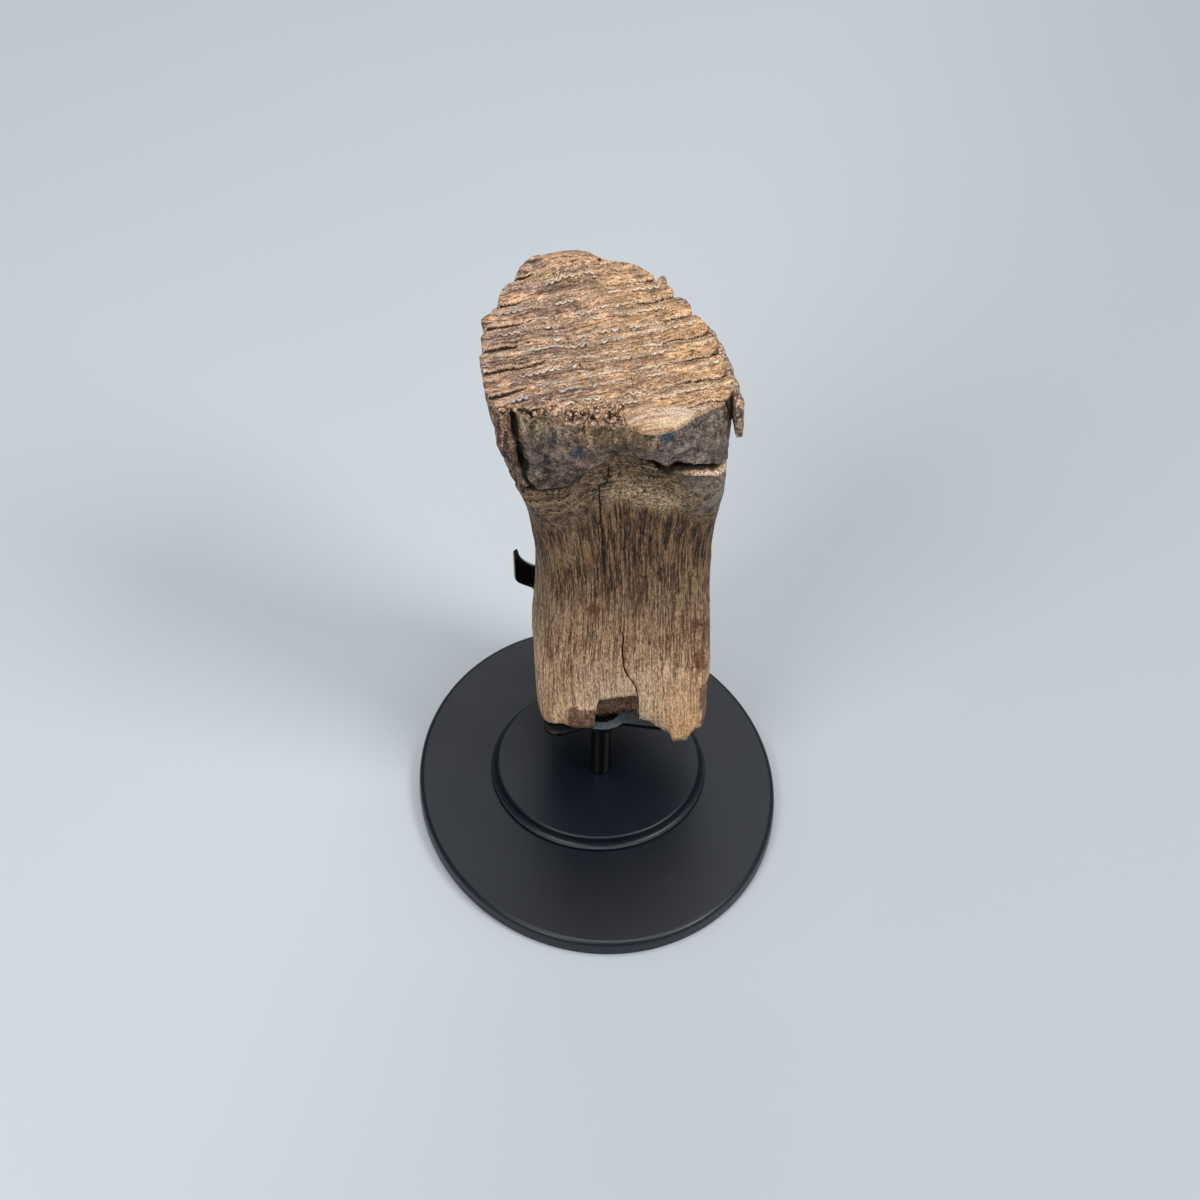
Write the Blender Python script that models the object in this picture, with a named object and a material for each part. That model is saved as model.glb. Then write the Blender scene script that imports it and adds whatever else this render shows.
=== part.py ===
# Fossil mammoth tooth on a black display stand, in metres with +Z up.
# The origin is the centre of the oval base's underside, and +Y is the base's long axis, to the back.
# The tooth stands on its root with the chewing surface on top; its plates run across, along X.

import math

import bmesh
import bpy
from mathutils import Vector, noise

MM = 0.001
CONTACT_GAP = 0.3 * MM

# Oval base plate
BASE_HALF_WIDTH = 63.5 * MM
BASE_HALF_LENGTH = 74.7 * MM
BASE_THICKNESS = 5.7 * MM
BASE_EDGE_RADIUS = 1.8 * MM
BASE_FOOT_CHAMFER = 0.4 * MM
BASE_SEGMENTS = 64
BASE_EDGE_STEPS = 4

# Round plinth on the plate
PLINTH_CENTRE = (1.4 * MM, 4.7 * MM)
PLINTH_TOP_RADIUS = 36.5 * MM
PLINTH_FOOT_RADIUS = 38.6 * MM
PLINTH_TOP = 10.3 * MM
PLINTH_EDGE_RADIUS = 0.9 * MM
PLINTH_LIP = 0.8 * MM
PLINTH_SEGMENTS = 56
COVE_STEPS = 4
RIM_STEPS = 3

# Post, with a bore for the screw that holds the hub on it
POST_CENTRE = (1.5 * MM, 1.0 * MM)
POST_RADIUS = 3.75 * MM
POST_CHAMFER = 0.4 * MM
BORE_RADIUS = 2.4 * MM
BORE_DEPTH = 8.0 * MM
ROUND_SEGMENTS = 24

# Holder cut from sheet: a hub, two short front arms and a long back arm with an upturned end
SHEET = 2.0 * MM
HOLDER_TOP = 42.0 * MM
HUB_RADIUS = 9.6 * MM
ARM_WIDTH = 10.4 * MM
FRONT_LEFT_ANGLE = math.radians(193.0)
FRONT_LEFT_REACH = 21.7 * MM
FRONT_RIGHT_ANGLE = math.radians(-18.0)
FRONT_RIGHT_REACH = 29.0 * MM
BACK_ANGLE = math.radians(99.5)
BACK_END_WIDTH = 8.2 * MM
BACK_REACH = 59.5 * MM
BEND_RADIUS = 4.0 * MM
BEND_ANGLE = math.radians(84.0)
FORK_HALF_WIDTH = 10.8 * MM
FORK_FLARE_HEIGHT = 6.0 * MM
FORK_LOW_HEIGHT = 5.0 * MM
FORK_TIP_HEIGHT = 15.5 * MM
FORK_EDGE_CURVE = 1.7
FORK_COLUMNS = 8
FORK_ROWS = 9
END_STEPS = 8
HUB_ARC_STEPS = 5

# Screw in the hub's recess
RECESS_RADIUS = 6.3 * MM
RECESS_DEPTH = 1.3 * MM
SCREW_HEAD_RADIUS = 5.6 * MM
SCREW_HEAD_HEIGHT = 0.9 * MM
SCREW_SHANK_RADIUS = 2.0 * MM
SCREW_LENGTH = 7.0 * MM
SCREW_RIM_HEIGHT = 0.3 * MM
SCREW_SHOULDER_HEIGHT = 0.6 * MM
SCREW_SHOULDER_SHARE = 0.9
SCREW_CROWN_SHARE = 0.62
SOCKET_RADIUS = 2.0 * MM
SOCKET_DEPTH = 0.6 * MM
SOCKET_SIDES = 6
CUTTER_OVERRUN = 1.0 * MM

# Tooth: overall heights, and the plates that cross it
ROOT_BOTTOM = HOLDER_TOP + CONTACT_GAP
CROWN_TOP = 188.0 * MM
PLATE_PITCH = 10.5 * MM
PLATE_FIRST_GROOVE = -6.9 * MM
PLATE_TILT = 0.12
PLATE_TILT_CENTRE = 3.0 * MM
WIDEST_Y = 5.0 * MM
BACK_SHARE = 0.975

# Sides of the tooth by height, in millimetres: height above the floor, then where the side lies
LEFT_SIDE = ((42, -20.2), (72, -21.2), (94, -20.6), (113, -20.4), (132, -22.4),
             (146, -25.4), (162, -31.0), (175, -34.4), (188, -36.2))
RIGHT_SIDE = ((42, 37.8), (60, 38.3), (82, 38.0), (119, 36.6), (131, 36.8),
              (141, 38.2), (151, 39.6), (162, 40.2), (188, 41.0))
BACK_SIDE = ((42, 60.0), (80, 60.5), (110, 61.0), (130, 63.5), (150, 69.0), (170, 74.5),
             (188, 76.5))

# Grid of the tooth's mesh: across, from front to back, and up the sides
ACROSS = 20
ALONG = 34
LEVELS = (0.0, 0.03, 0.07, 0.14, 0.24, 0.37, 0.50, 0.62, 0.71, 0.765,
          0.80, 0.825, 0.838, 0.852, 0.875, 0.905, 0.935, 0.962, 0.985, 1.0)

# Crack across the front under the crown, in millimetres: x, then the crack's height
CRACK_LINE = ((-24, 156.5), (-15, 157.0), (-3, 166.0), (8, 171.5), (18, 165.0), (26, 166.5),
              (40, 161.8))
CRACK_SHARE = 0.838


def clear_scene():
    for old in list(bpy.data.objects):
        bpy.data.objects.remove(old, do_unlink=True)


def make_material(name, colour, roughness, metallic):
    material = bpy.data.materials.new(name)
    material.use_nodes = True
    shader = material.node_tree.nodes["Principled BSDF"]
    shader.inputs["Base Color"].default_value = (*colour, 1.0)
    shader.inputs["Roughness"].default_value = roughness
    shader.inputs["Metallic"].default_value = metallic
    material.diffuse_color = (*colour, 1.0)
    return material


def add_object(name, bm, material, sharp_angle=35.0):
    bmesh.ops.recalc_face_normals(bm, faces=bm.faces)
    mesh = bpy.data.meshes.new(name)
    bm.to_mesh(mesh)
    bm.free()
    mesh.materials.append(material)
    mesh.shade_smooth()
    mesh.set_sharp_from_angle(angle=math.radians(sharp_angle))
    item = bpy.data.objects.new(name, mesh)
    bpy.context.collection.objects.link(item)
    return item


def cut(target, cutter):
    cutter.hide_render = True
    cutter.display_type = "WIRE"
    modifier = target.modifiers.new("Cut " + cutter.name, "BOOLEAN")
    modifier.operation = "DIFFERENCE"
    modifier.solver = "EXACT"
    modifier.object = cutter


def loft(rings):
    """Closed body through rings of points, each ring with the same number of points."""
    bm = bmesh.new()
    rows = [[bm.verts.new(point) for point in ring] for ring in rings]
    count = len(rows[0])
    for lower, upper in zip(rows, rows[1:]):
        for i in range(count):
            j = (i + 1) % count
            bm.faces.new((lower[i], lower[j], upper[j], upper[i]))
    bm.faces.new(list(reversed(rows[0])))
    bm.faces.new(rows[-1])
    return bm


def oval_ring(half_x, half_y, centre, height, segments):
    ring = []
    for i in range(segments):
        angle = 2.0 * math.pi * i / segments
        x = centre[0] + half_x * math.cos(angle)
        y = centre[1] + half_y * math.sin(angle)
        ring.append(Vector((x, y, height)))
    return ring


def turned(profile, centre, segments):
    """Rings of a body turned about a vertical line; the profile gives radius and height."""
    return [oval_ring(radius, radius, centre, height, segments) for radius, height in profile]


# Base plate, plinth and post

def build_base_plate(material):
    profile = [(BASE_FOOT_CHAMFER, 0.0), (0.0, BASE_FOOT_CHAMFER)]
    for step in range(BASE_EDGE_STEPS + 1):
        angle = 0.5 * math.pi * step / BASE_EDGE_STEPS
        inset = BASE_EDGE_RADIUS * (1.0 - math.cos(angle))
        height = BASE_THICKNESS - BASE_EDGE_RADIUS * (1.0 - math.sin(angle))
        profile.append((inset, height))
    rings = [oval_ring(BASE_HALF_WIDTH - inset, BASE_HALF_LENGTH - inset, (0, 0), height, BASE_SEGMENTS)
             for inset, height in profile]
    return add_object("base_plate", loft(rings), material)


def build_plinth(material):
    """Low disc whose side sweeps in from a thin foot lip to the top, which has a rounded rim."""
    bottom = BASE_THICKNESS + CONTACT_GAP
    rim_bottom = PLINTH_TOP - PLINTH_EDGE_RADIUS
    profile = [(PLINTH_FOOT_RADIUS, bottom), (PLINTH_FOOT_RADIUS, bottom + PLINTH_LIP)]
    sweep = PLINTH_FOOT_RADIUS - PLINTH_TOP_RADIUS
    for step in range(1, COVE_STEPS + 1):
        angle = 0.5 * math.pi * step / COVE_STEPS
        radius = PLINTH_TOP_RADIUS + sweep * (1.0 - math.sin(angle))
        height = bottom + PLINTH_LIP + (rim_bottom - bottom - PLINTH_LIP) * (1.0 - math.cos(angle))
        profile.append((radius, height))
    for step in range(1, RIM_STEPS + 1):
        angle = 0.5 * math.pi * step / RIM_STEPS
        profile.append((PLINTH_TOP_RADIUS - PLINTH_EDGE_RADIUS * (1.0 - math.cos(angle)),
                        rim_bottom + PLINTH_EDGE_RADIUS * math.sin(angle)))
    return add_object("plinth", loft(turned(profile, PLINTH_CENTRE, PLINTH_SEGMENTS)), material)


def build_post(material):
    bottom = PLINTH_TOP + CONTACT_GAP
    top = HOLDER_TOP - SHEET - CONTACT_GAP
    profile = [(POST_RADIUS, bottom), (POST_RADIUS, top - POST_CHAMFER),
               (POST_RADIUS - POST_CHAMFER, top), (BORE_RADIUS, top), (BORE_RADIUS, top - BORE_DEPTH)]
    return add_object("post", loft(turned(profile, POST_CENTRE, ROUND_SEGMENTS)), material)


def build_screw(material):
    """Low domed head with a hexagonal socket, and a plain shank that stands in the post's bore."""
    seat = HOLDER_TOP - RECESS_DEPTH + CONTACT_GAP
    head_top = seat + SCREW_HEAD_HEIGHT
    profile = [(SCREW_SHANK_RADIUS, seat - SCREW_LENGTH), (SCREW_SHANK_RADIUS, seat),
               (SCREW_HEAD_RADIUS, seat), (SCREW_HEAD_RADIUS, seat + SCREW_RIM_HEIGHT),
               (SCREW_SHOULDER_SHARE * SCREW_HEAD_RADIUS, seat + SCREW_SHOULDER_HEIGHT),
               (SCREW_CROWN_SHARE * SCREW_HEAD_RADIUS, head_top)]
    screw = add_object("hub_screw", loft(turned(profile, POST_CENTRE, ROUND_SEGMENTS)), material)
    socket_profile = [(SOCKET_RADIUS, head_top - SOCKET_DEPTH), (SOCKET_RADIUS, head_top + CUTTER_OVERRUN)]
    socket_rings = turned(socket_profile, POST_CENTRE, SOCKET_SIDES)
    socket = add_object("socket_cutter", loft(socket_rings), material)
    cut(screw, socket)
    return screw


# Holder

def holder_outline():
    """Plan outline of the hub and its arms, counterclockwise, and where the back arm's end row starts."""
    half = 0.5 * ARM_WIDTH
    spread = math.asin(half / HUB_RADIUS)
    arms = ((FRONT_RIGHT_ANGLE, FRONT_RIGHT_REACH), (BACK_ANGLE, BACK_REACH),
            (FRONT_LEFT_ANGLE, FRONT_LEFT_REACH))
    points = []
    back_start = 0
    for index, (angle, reach) in enumerate(arms):
        along = Vector((math.cos(angle), math.sin(angle)))
        across = Vector((-along.y, along.x))
        points.append(along * HUB_RADIUS * math.cos(spread) - across * half)
        if angle == BACK_ANGLE:
            back_start = len(points)
            for column in range(FORK_COLUMNS + 1):
                side = 0.5 * BACK_END_WIDTH * (2.0 * column / FORK_COLUMNS - 1.0)
                points.append(along * reach + across * side)
        else:
            for step in range(END_STEPS + 1):
                swing = math.pi * (step / END_STEPS - 0.5)
                forward = reach - half + half * math.cos(swing)
                points.append(along * forward + across * half * math.sin(swing))
        points.append(along * HUB_RADIUS * math.cos(spread) + across * half)
        is_last = index == len(arms) - 1
        following = arms[0][0] + 2.0 * math.pi if is_last else arms[index + 1][0]
        start = angle + spread
        stop = following - spread
        for step in range(1, HUB_ARC_STEPS):
            turn = start + (stop - start) * step / HUB_ARC_STEPS
            points.append(Vector((math.cos(turn), math.sin(turn))) * HUB_RADIUS)
    return points, back_start


def fork_point(share, column):
    """Place of one point of the upturned end; share runs from 0 at the arm's end to 1 at the top edge."""
    across = 2.0 * column / FORK_COLUMNS - 1.0
    bend_length = BEND_RADIUS * BEND_ANGLE
    top_length = FORK_LOW_HEIGHT + (FORK_TIP_HEIGHT - FORK_LOW_HEIGHT) * abs(across) ** FORK_EDGE_CURVE
    length = share * (bend_length + top_length)
    if length < bend_length:
        lean = length / BEND_RADIUS
        along = BEND_RADIUS * math.sin(lean)
        up = BEND_RADIUS * (1.0 - math.cos(lean))
    else:
        rise = length - bend_length
        along = BEND_RADIUS * math.sin(BEND_ANGLE) + rise * math.cos(BEND_ANGLE)
        up = BEND_RADIUS * (1.0 - math.cos(BEND_ANGLE)) + rise * math.sin(BEND_ANGLE)
        lean = BEND_ANGLE
    flare = min(1.0, max(0.0, (length - 0.5 * bend_length) / FORK_FLARE_HEIGHT))
    narrow = 0.5 * BACK_END_WIDTH
    half = narrow + (FORK_HALF_WIDTH - narrow) * math.sin(0.5 * math.pi * flare)
    return along, up, lean, across * half


def build_holder(material):
    outline, back_start = holder_outline()
    hub = Vector((*POST_CENTRE, 0.0))
    bm = bmesh.new()
    lower = [bm.verts.new(hub + Vector((p.x, p.y, HOLDER_TOP - SHEET))) for p in outline]
    upper = [bm.verts.new(hub + Vector((p.x, p.y, HOLDER_TOP))) for p in outline]
    bm.faces.new(list(reversed(lower)))
    bm.faces.new(upper)
    count = len(outline)
    end_row = range(back_start, back_start + FORK_COLUMNS)
    for i in range(count):
        if i not in end_row:
            j = (i + 1) % count
            bm.faces.new((lower[i], lower[j], upper[j], upper[i]))
    along = Vector((math.cos(BACK_ANGLE), math.sin(BACK_ANGLE), 0.0))
    across = Vector((-along.y, along.x, 0.0))
    last_lower = lower[back_start:back_start + FORK_COLUMNS + 1]
    last_upper = upper[back_start:back_start + FORK_COLUMNS + 1]
    for row in range(1, FORK_ROWS + 1):
        next_lower = []
        next_upper = []
        for column in range(FORK_COLUMNS + 1):
            forward, up, lean, side = fork_point(row / FORK_ROWS, column)
            level = Vector((0.0, 0.0, HOLDER_TOP + up))
            inner = hub + along * (BACK_REACH + forward) + across * side + level
            outward = along * math.sin(lean) - Vector((0.0, 0.0, math.cos(lean)))
            next_upper.append(bm.verts.new(inner))
            next_lower.append(bm.verts.new(inner + outward * SHEET))
        for column in range(FORK_COLUMNS):
            after = column + 1
            bm.faces.new((last_lower[column], last_lower[after], next_lower[after], next_lower[column]))
            bm.faces.new((last_upper[column], next_upper[column], next_upper[after], last_upper[after]))
        bm.faces.new((last_lower[0], next_lower[0], next_upper[0], last_upper[0]))
        bm.faces.new((last_lower[-1], last_upper[-1], next_upper[-1], next_lower[-1]))
        last_lower, last_upper = next_lower, next_upper
    for column in range(FORK_COLUMNS):
        after = column + 1
        bm.faces.new((last_lower[column], last_lower[after], last_upper[after], last_upper[column]))
    holder = add_object("holder", bm, material)
    recess_floor = HOLDER_TOP - RECESS_DEPTH
    recess = [(BORE_RADIUS, HOLDER_TOP - SHEET - CUTTER_OVERRUN), (BORE_RADIUS, recess_floor),
              (RECESS_RADIUS, recess_floor), (RECESS_RADIUS, HOLDER_TOP + CUTTER_OVERRUN)]
    recess_rings = turned(recess, POST_CENTRE, ROUND_SEGMENTS)
    cut(holder, add_object("recess_cutter", loft(recess_rings), material))
    return holder


# Tooth

def smooth_step(low, high, value):
    share = min(1.0, max(0.0, (value - low) / (high - low)))
    return share * share * (3.0 - 2.0 * share)


def bump(value, centre, width):
    return math.exp(-((value - centre) / width) ** 2)


def follow(stations, where):
    """Smooth curve through stations of place and value, both in millimetres."""
    last = len(stations) - 1
    if where <= stations[0][0]:
        return stations[0][1]
    if where >= stations[last][0]:
        return stations[last][1]
    k = next(i for i in range(last) if where <= stations[i + 1][0])

    def slope(i):
        before, after = stations[max(0, i - 1)], stations[min(last, i + 1)]
        return (after[1] - before[1]) / (after[0] - before[0])
    (a, value_a), (b, value_b) = stations[k], stations[k + 1]
    t = (where - a) / (b - a)
    pull_a, pull_b = slope(k) * (b - a), slope(k + 1) * (b - a)
    return ((2 * t ** 3 - 3 * t ** 2 + 1) * value_a + (t ** 3 - 2 * t ** 2 + t) * pull_a
            + (3 * t ** 2 - 2 * t ** 3) * value_b + (t ** 3 - t ** 2) * pull_b)


def lumps(x, y, z, size, seed):
    """Soft noise from -1 to 1 whose lumps are about size millimetres across."""
    return noise.noise(Vector((x / size + 7.3 * seed, y / size - 3.1 * seed, z / size + 1.7 * seed)))


def plate_wave(x, y):
    """Place among the plates: whole numbers lie in the grooves between two plates."""
    bend = 0.9 * lumps(x, 0.0, 0.0, 17.0, 2.0) + 0.5 * lumps(x, y, 0.0, 9.0, 3.0)
    tilted = PLATE_TILT * (x - PLATE_TILT_CENTRE / MM)
    return (y - tilted - PLATE_FIRST_GROOVE / MM + bend) / (PLATE_PITCH / MM)


def groove_depth(x, y):
    """1 in the grooves between plates, 0 on the plates."""
    place = plate_wave(x, y)
    return max(0.0, math.cos(2.0 * math.pi * place)) ** 1.5


def front_line(x, z):
    """Where the front face lies: a nosed crown above, a nearly flat root below."""
    crown = -2.8 - 9.4 * bump(x, 15.0, 17.0) + 4.6 * smooth_step(-8.0, -28.0, x)
    root = -9.0 - 0.085 * (x - 8.0) + 2.2 * ((x - 8.0) / 30.0) ** 2
    root -= 4.2 * smooth_step(8.0, 26.0, x) * smooth_step(85.0, 45.0, z)
    swell = -2.6 * bump(z, 176.0, 9.0) - 1.2 * bump(z, 150.0, 10.0)
    share = smooth_step(150.0, 188.0, z)
    return root + (crown - root) * share + swell


def top_height(x, y, across):
    """Chewing surface: worn plates whose grooves open at the sides, a low front and a domed back."""
    side = abs(across)
    worn = 188.0 + 0.8 * lumps(x, y, 0.0, 24.0, 1.0) - 0.9 * bump(y, 34.0, 20.0) * (1.0 - side ** 2)
    ridge = 0.55 * math.cos(2.0 * math.pi * (plate_wave(x, y) - 0.5))
    opening = 1.0 * groove_depth(x, y) * smooth_step(0.55, 1.0, side)
    lens = 2.6 * bump(x, 15.0, 13.0) * smooth_step(-4.0, -13.0, y)
    dome = (1.6 + 2.2 * bump(x, -1.0, 9.0)) * bump(y, 69.0, 6.0) - 2.4 * smooth_step(71.0, 78.0, y)
    plates = 1.0 - smooth_step(62.0, 68.0, y)
    return worn + (ridge - opening) * plates - lens + dome


def bottom_height(x, y):
    """Broken root end: flat where it rests, with a notch, a flake and a hanging tip along the front."""
    base = ROOT_BOTTOM / MM
    rough = 1.6 * max(0.0, lumps(x, y, 0.0, 11.0, 5.0) + 0.25)
    inward = smooth_step(0.0, 9.0, y + 10.0)
    left = 4.0 * smooth_step(-9.0, -16.0, x)
    notch = 14.5 * smooth_step(-1.5, 1.5, x) * smooth_step(13.0, 11.5, x)
    right = 5.0 * smooth_step(11.5, 13.0, x) * smooth_step(23.0, 13.0, x)
    corner = 6.0 * smooth_step(34.0, 38.0, x)
    edge = left + notch + right + corner
    tip = 5.2 * smooth_step(22.4, 24.6, x) * smooth_step(31.5, 28.8, x) * smooth_step(-12.0, -13.2, y)
    return base + rough * inward + edge * (1.0 - inward) - tip


def plan_point(across, share, z):
    """Point of the smooth body at height z; across is -1 to 1, share 0 at the front to 1 at the back."""
    left, right, back = follow(LEFT_SIDE, z), follow(RIGHT_SIDE, z), follow(BACK_SIDE, z)
    crown = smooth_step(140.0, 175.0, z)
    front = -3.5 - 2.5 * (1.0 - crown)
    y_row = front + (back - front) * share
    wide = WIDEST_Y / MM
    deep = BACK_SHARE * max(0.0, (y_row - wide) / (back - wide))
    spine = -1.0 + 8.0 * (1.0 - crown)
    left_x = spine + (left - spine) * (1.0 - deep ** (2.0 + 0.6 * crown)) ** 0.75
    right_x = spine + (right - spine) * (1.0 - deep ** (2.2 + 0.4 * crown)) ** 0.75
    corner = 9.0 - 1.5 * crown
    near = max(0.0, 1.0 - (y_row - front) / corner)
    inset = corner * (1.0 - math.sqrt(1.0 - near * near)) * (0.62 + 0.1 * crown)
    left_x += inset
    right_x -= inset
    x = left_x + (right_x - left_x) * 0.5 * (across + 1.0)
    y = y_row + (front_line(x, z) - front) * (1.0 - share) ** 3
    behind = smooth_step(0.8, 1.0, share)
    y += (1.4 - 3.6 * (across + 0.15) ** 2 - 3.0 * crown * bump(x, 12.0, 5.5)) * behind
    return x, y


def rim_places():
    """Grid places around the rim: right way round, starting at the front left."""
    front = [(i, 0) for i in range(ACROSS)]
    right = [(ACROSS, j) for j in range(ALONG)]
    back = [(i, ALONG) for i in range(ACROSS, 0, -1)]
    left = [(0, j) for j in range(ALONG, 0, -1)]
    return front + right + back + left


def grid_values(i, j):
    return 2.0 * i / ACROSS - 1.0, j / ALONG


def side_shape(x, y, z, facing):
    """How far the side stands out of the smooth body, in millimetres; facing is its outward direction."""
    crown = smooth_step(138.0, 168.0, z)
    flank = abs(facing.x)
    front = max(0.0, -facing.y) ** 2
    out = 0.7 * lumps(x, y, z * 0.45, 13.0, 4.0)
    out += flank * crown * (0.3 - 0.8 * groove_depth(x, y))
    left = smooth_step(0.0, -10.0, x)
    out += left * flank * crown * (1.9 * bump(y, 43.5, 3.5) - 1.6 * bump(y, 51.5, 3.5))
    right = smooth_step(0.0, 10.0, x)
    out += right * flank * crown * (3.0 * bump(y, 57.0, 2.5) - 1.6 * bump(y, 37.0, 3.0))
    crack = follow(CRACK_LINE, x)
    open_right = smooth_step(12.0, 22.0, x)
    open_left = smooth_step(-12.0, -18.0, x)
    out -= front * bump(z, crack, 1.3) * (0.7 + 2.3 * open_right + 0.8 * open_left)
    out += front * bump(z, crack - 2.6, 1.8) * 1.4 * open_right
    under_crack = smooth_step(crack - 15.0, crack - 3.0, z) * smooth_step(crack, crack - 1.0, z)
    out += front * 0.9 * under_crack * bump(x, 8.0, 20.0)
    flap = smooth_step(171.0, 173.5, z) * smooth_step(-9.0, -5.0, y) * smooth_step(26.0, 8.0, y)
    out += max(0.0, facing.x) * 2.2 * flap
    chip = bump(x, -30.0, 5.0) * smooth_step(150.0, 158.0, z) * smooth_step(8.0, -1.0, y)
    out -= chip * (2.2 + 1.8 * lumps(x, y, z, 7.0, 6.0))
    return out


def build_tooth(material):
    bm = bmesh.new()
    floor_z, crown_z = ROOT_BOTTOM / MM, CROWN_TOP / MM
    rim = rim_places()
    count = len(rim)
    rings = []
    for level in LEVELS:
        centre = floor_z + (crown_z - floor_z) * level
        flat = [plan_point(*grid_values(i, j), centre) for i, j in rim]
        ring = []
        for k, (x, y) in enumerate(flat):
            before, after = flat[k - 1], flat[(k + 1) % count]
            facing = Vector((after[1] - before[1], before[0] - after[0], 0.0)).normalized()
            across = grid_values(*rim[k])[0]
            z = centre + (bottom_height(x, y) - floor_z) * (1.0 - level) ** 4
            z += (top_height(x, y, across) - crown_z) * level ** 12
            crack_shift = follow(CRACK_LINE, x) - (floor_z + (crown_z - floor_z) * CRACK_SHARE)
            z += crack_shift * bump(level, CRACK_SHARE, 0.09) * max(0.0, -facing.y) * (1.0 - level ** 40)
            out = side_shape(x, y, z, facing) * (1.0 - (1.0 - level) ** 30)
            ring.append(Vector((x + facing.x * out, y + facing.y * out, z)) * MM)
        rings.append([bm.verts.new(point) for point in ring])
    for lower, upper in zip(rings, rings[1:]):
        for k in range(count):
            after = (k + 1) % count
            bm.faces.new((lower[k], lower[after], upper[after], upper[k]))
    for ring, height in ((rings[0], floor_z), (rings[-1], crown_z)):
        close_cap(bm, ring, rim, height)
    return add_object("tooth", bm, material, sharp_angle=60.0)


def close_cap(bm, ring, rim, height):
    """Grid of faces inside the first or last ring; its inner points follow the end's own surface."""
    at_top = height > 100.0
    grid = {place: vert for place, vert in zip(rim, ring)}
    for i in range(1, ACROSS):
        for j in range(1, ALONG):
            across, share = grid_values(i, j)
            x, y = plan_point(across, share, height)
            z = top_height(x, y, across) if at_top else bottom_height(x, y)
            grid[(i, j)] = bm.verts.new(Vector((x, y, z)) * MM)
    for i in range(ACROSS):
        for j in range(ALONG):
            face = [grid[(i, j)], grid[(i + 1, j)], grid[(i + 1, j + 1)], grid[(i, j + 1)]]
            bm.faces.new(face if at_top else list(reversed(face)))


def build():
    clear_scene()
    black_plate = make_material("black_satin_plate", (0.016, 0.016, 0.018), 0.42, 0.0)
    black_gloss = make_material("black_gloss_metal", (0.012, 0.013, 0.014), 0.25, 0.0)
    fossil = make_material("brown_fossil", (0.22, 0.12, 0.06), 0.75, 0.0)
    build_base_plate(black_plate)
    build_plinth(black_plate)
    build_post(black_gloss)
    build_holder(black_gloss)
    build_screw(black_gloss)
    build_tooth(fossil)


build()
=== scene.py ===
import math

import bmesh
import bpy
from mathutils import Matrix, Vector, noise


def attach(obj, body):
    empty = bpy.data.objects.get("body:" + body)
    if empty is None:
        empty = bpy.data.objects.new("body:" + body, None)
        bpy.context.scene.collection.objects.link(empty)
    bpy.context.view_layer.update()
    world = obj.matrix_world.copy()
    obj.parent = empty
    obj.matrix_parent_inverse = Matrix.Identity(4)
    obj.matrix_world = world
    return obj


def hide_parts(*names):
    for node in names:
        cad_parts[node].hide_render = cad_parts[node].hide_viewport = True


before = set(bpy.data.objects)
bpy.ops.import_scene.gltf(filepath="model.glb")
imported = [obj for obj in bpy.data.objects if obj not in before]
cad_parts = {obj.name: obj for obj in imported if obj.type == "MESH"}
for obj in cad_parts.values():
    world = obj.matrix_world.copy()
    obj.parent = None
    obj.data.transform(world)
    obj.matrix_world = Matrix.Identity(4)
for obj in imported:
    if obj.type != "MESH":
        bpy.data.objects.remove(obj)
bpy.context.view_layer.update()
mm = 0.001
print("frame loaded")


# the node tree that the helpers below add to
canvas = {"tree": None}


def fill(node, sockets):
    # links each socket to another node's output, or gives it a plain value
    for key, value in sockets.items():
        if isinstance(value, bpy.types.NodeSocket):
            canvas["tree"].links.new(value, node.inputs[key])
        else:
            node.inputs[key].default_value = value


def addNode(kind, sockets=None, **settings):
    node = canvas["tree"].nodes.new(kind)
    for key, value in settings.items():
        setattr(node, key, value)
    fill(node, sockets or {})
    return node


def calc(operation, a, b=0.0, c=0.0, clamp=False):
    node = addNode("ShaderNodeMath", {0: a, 1: b, 2: c}, operation=operation)
    node.use_clamp = clamp
    return node.outputs[0]


def plus(a, b):
    return calc("ADD", a, b)


def minus(a, b):
    return calc("SUBTRACT", a, b)


def apart(a, b):
    return calc("ABSOLUTE", minus(a, b))


def linear(value, slope, offset):
    return calc("MULTIPLY_ADD", value, slope, offset)


def times(*factors):
    product = factors[0]
    for factor in factors[1:]:
        product = calc("MULTIPLY", product, factor)
    return product


def vectorCalc(operation, a, b=(0.0, 0.0, 0.0)):
    return addNode("ShaderNodeVectorMath", {0: a, 1: b}, operation=operation).outputs[0]


def scaled(vector, factor):
    return addNode("ShaderNodeVectorMath", {0: vector, 3: factor}, operation="SCALE").outputs[0]


def stretched(vector, scale):
    return vectorCalc("MULTIPLY", vector, scale)


def axes(vector):
    parts = addNode("ShaderNodeSeparateXYZ", {0: vector}).outputs
    return parts[0], parts[1], parts[2]


def remap(value, low, high, outLow=0.0, outHigh=1.0, smooth=False):
    kind = "SMOOTHSTEP" if smooth else "LINEAR"
    sockets = {"Value": value, "From Min": low, "From Max": high, "To Min": outLow, "To Max": outHigh}
    return addNode("ShaderNodeMapRange", sockets, interpolation_type=kind).outputs[0]


def fade(value, low, high, smooth=False):
    # 1 up to the low value, 0 from the high one on
    return remap(value, low, high, 1.0, 0.0, smooth)


def speckle(vector, scale, detail=3.0, roughness=0.55, distortion=0.0):
    sockets = {"Vector": vector, "Scale": scale, "Detail": detail, "Roughness": roughness, "Distortion": distortion}
    return addNode("ShaderNodeTexNoise", sockets).outputs[0]


def cells(vector, scale):
    return addNode("ShaderNodeTexVoronoi", {"Vector": vector, "Scale": scale}, feature="F1").outputs["Distance"]


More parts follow.
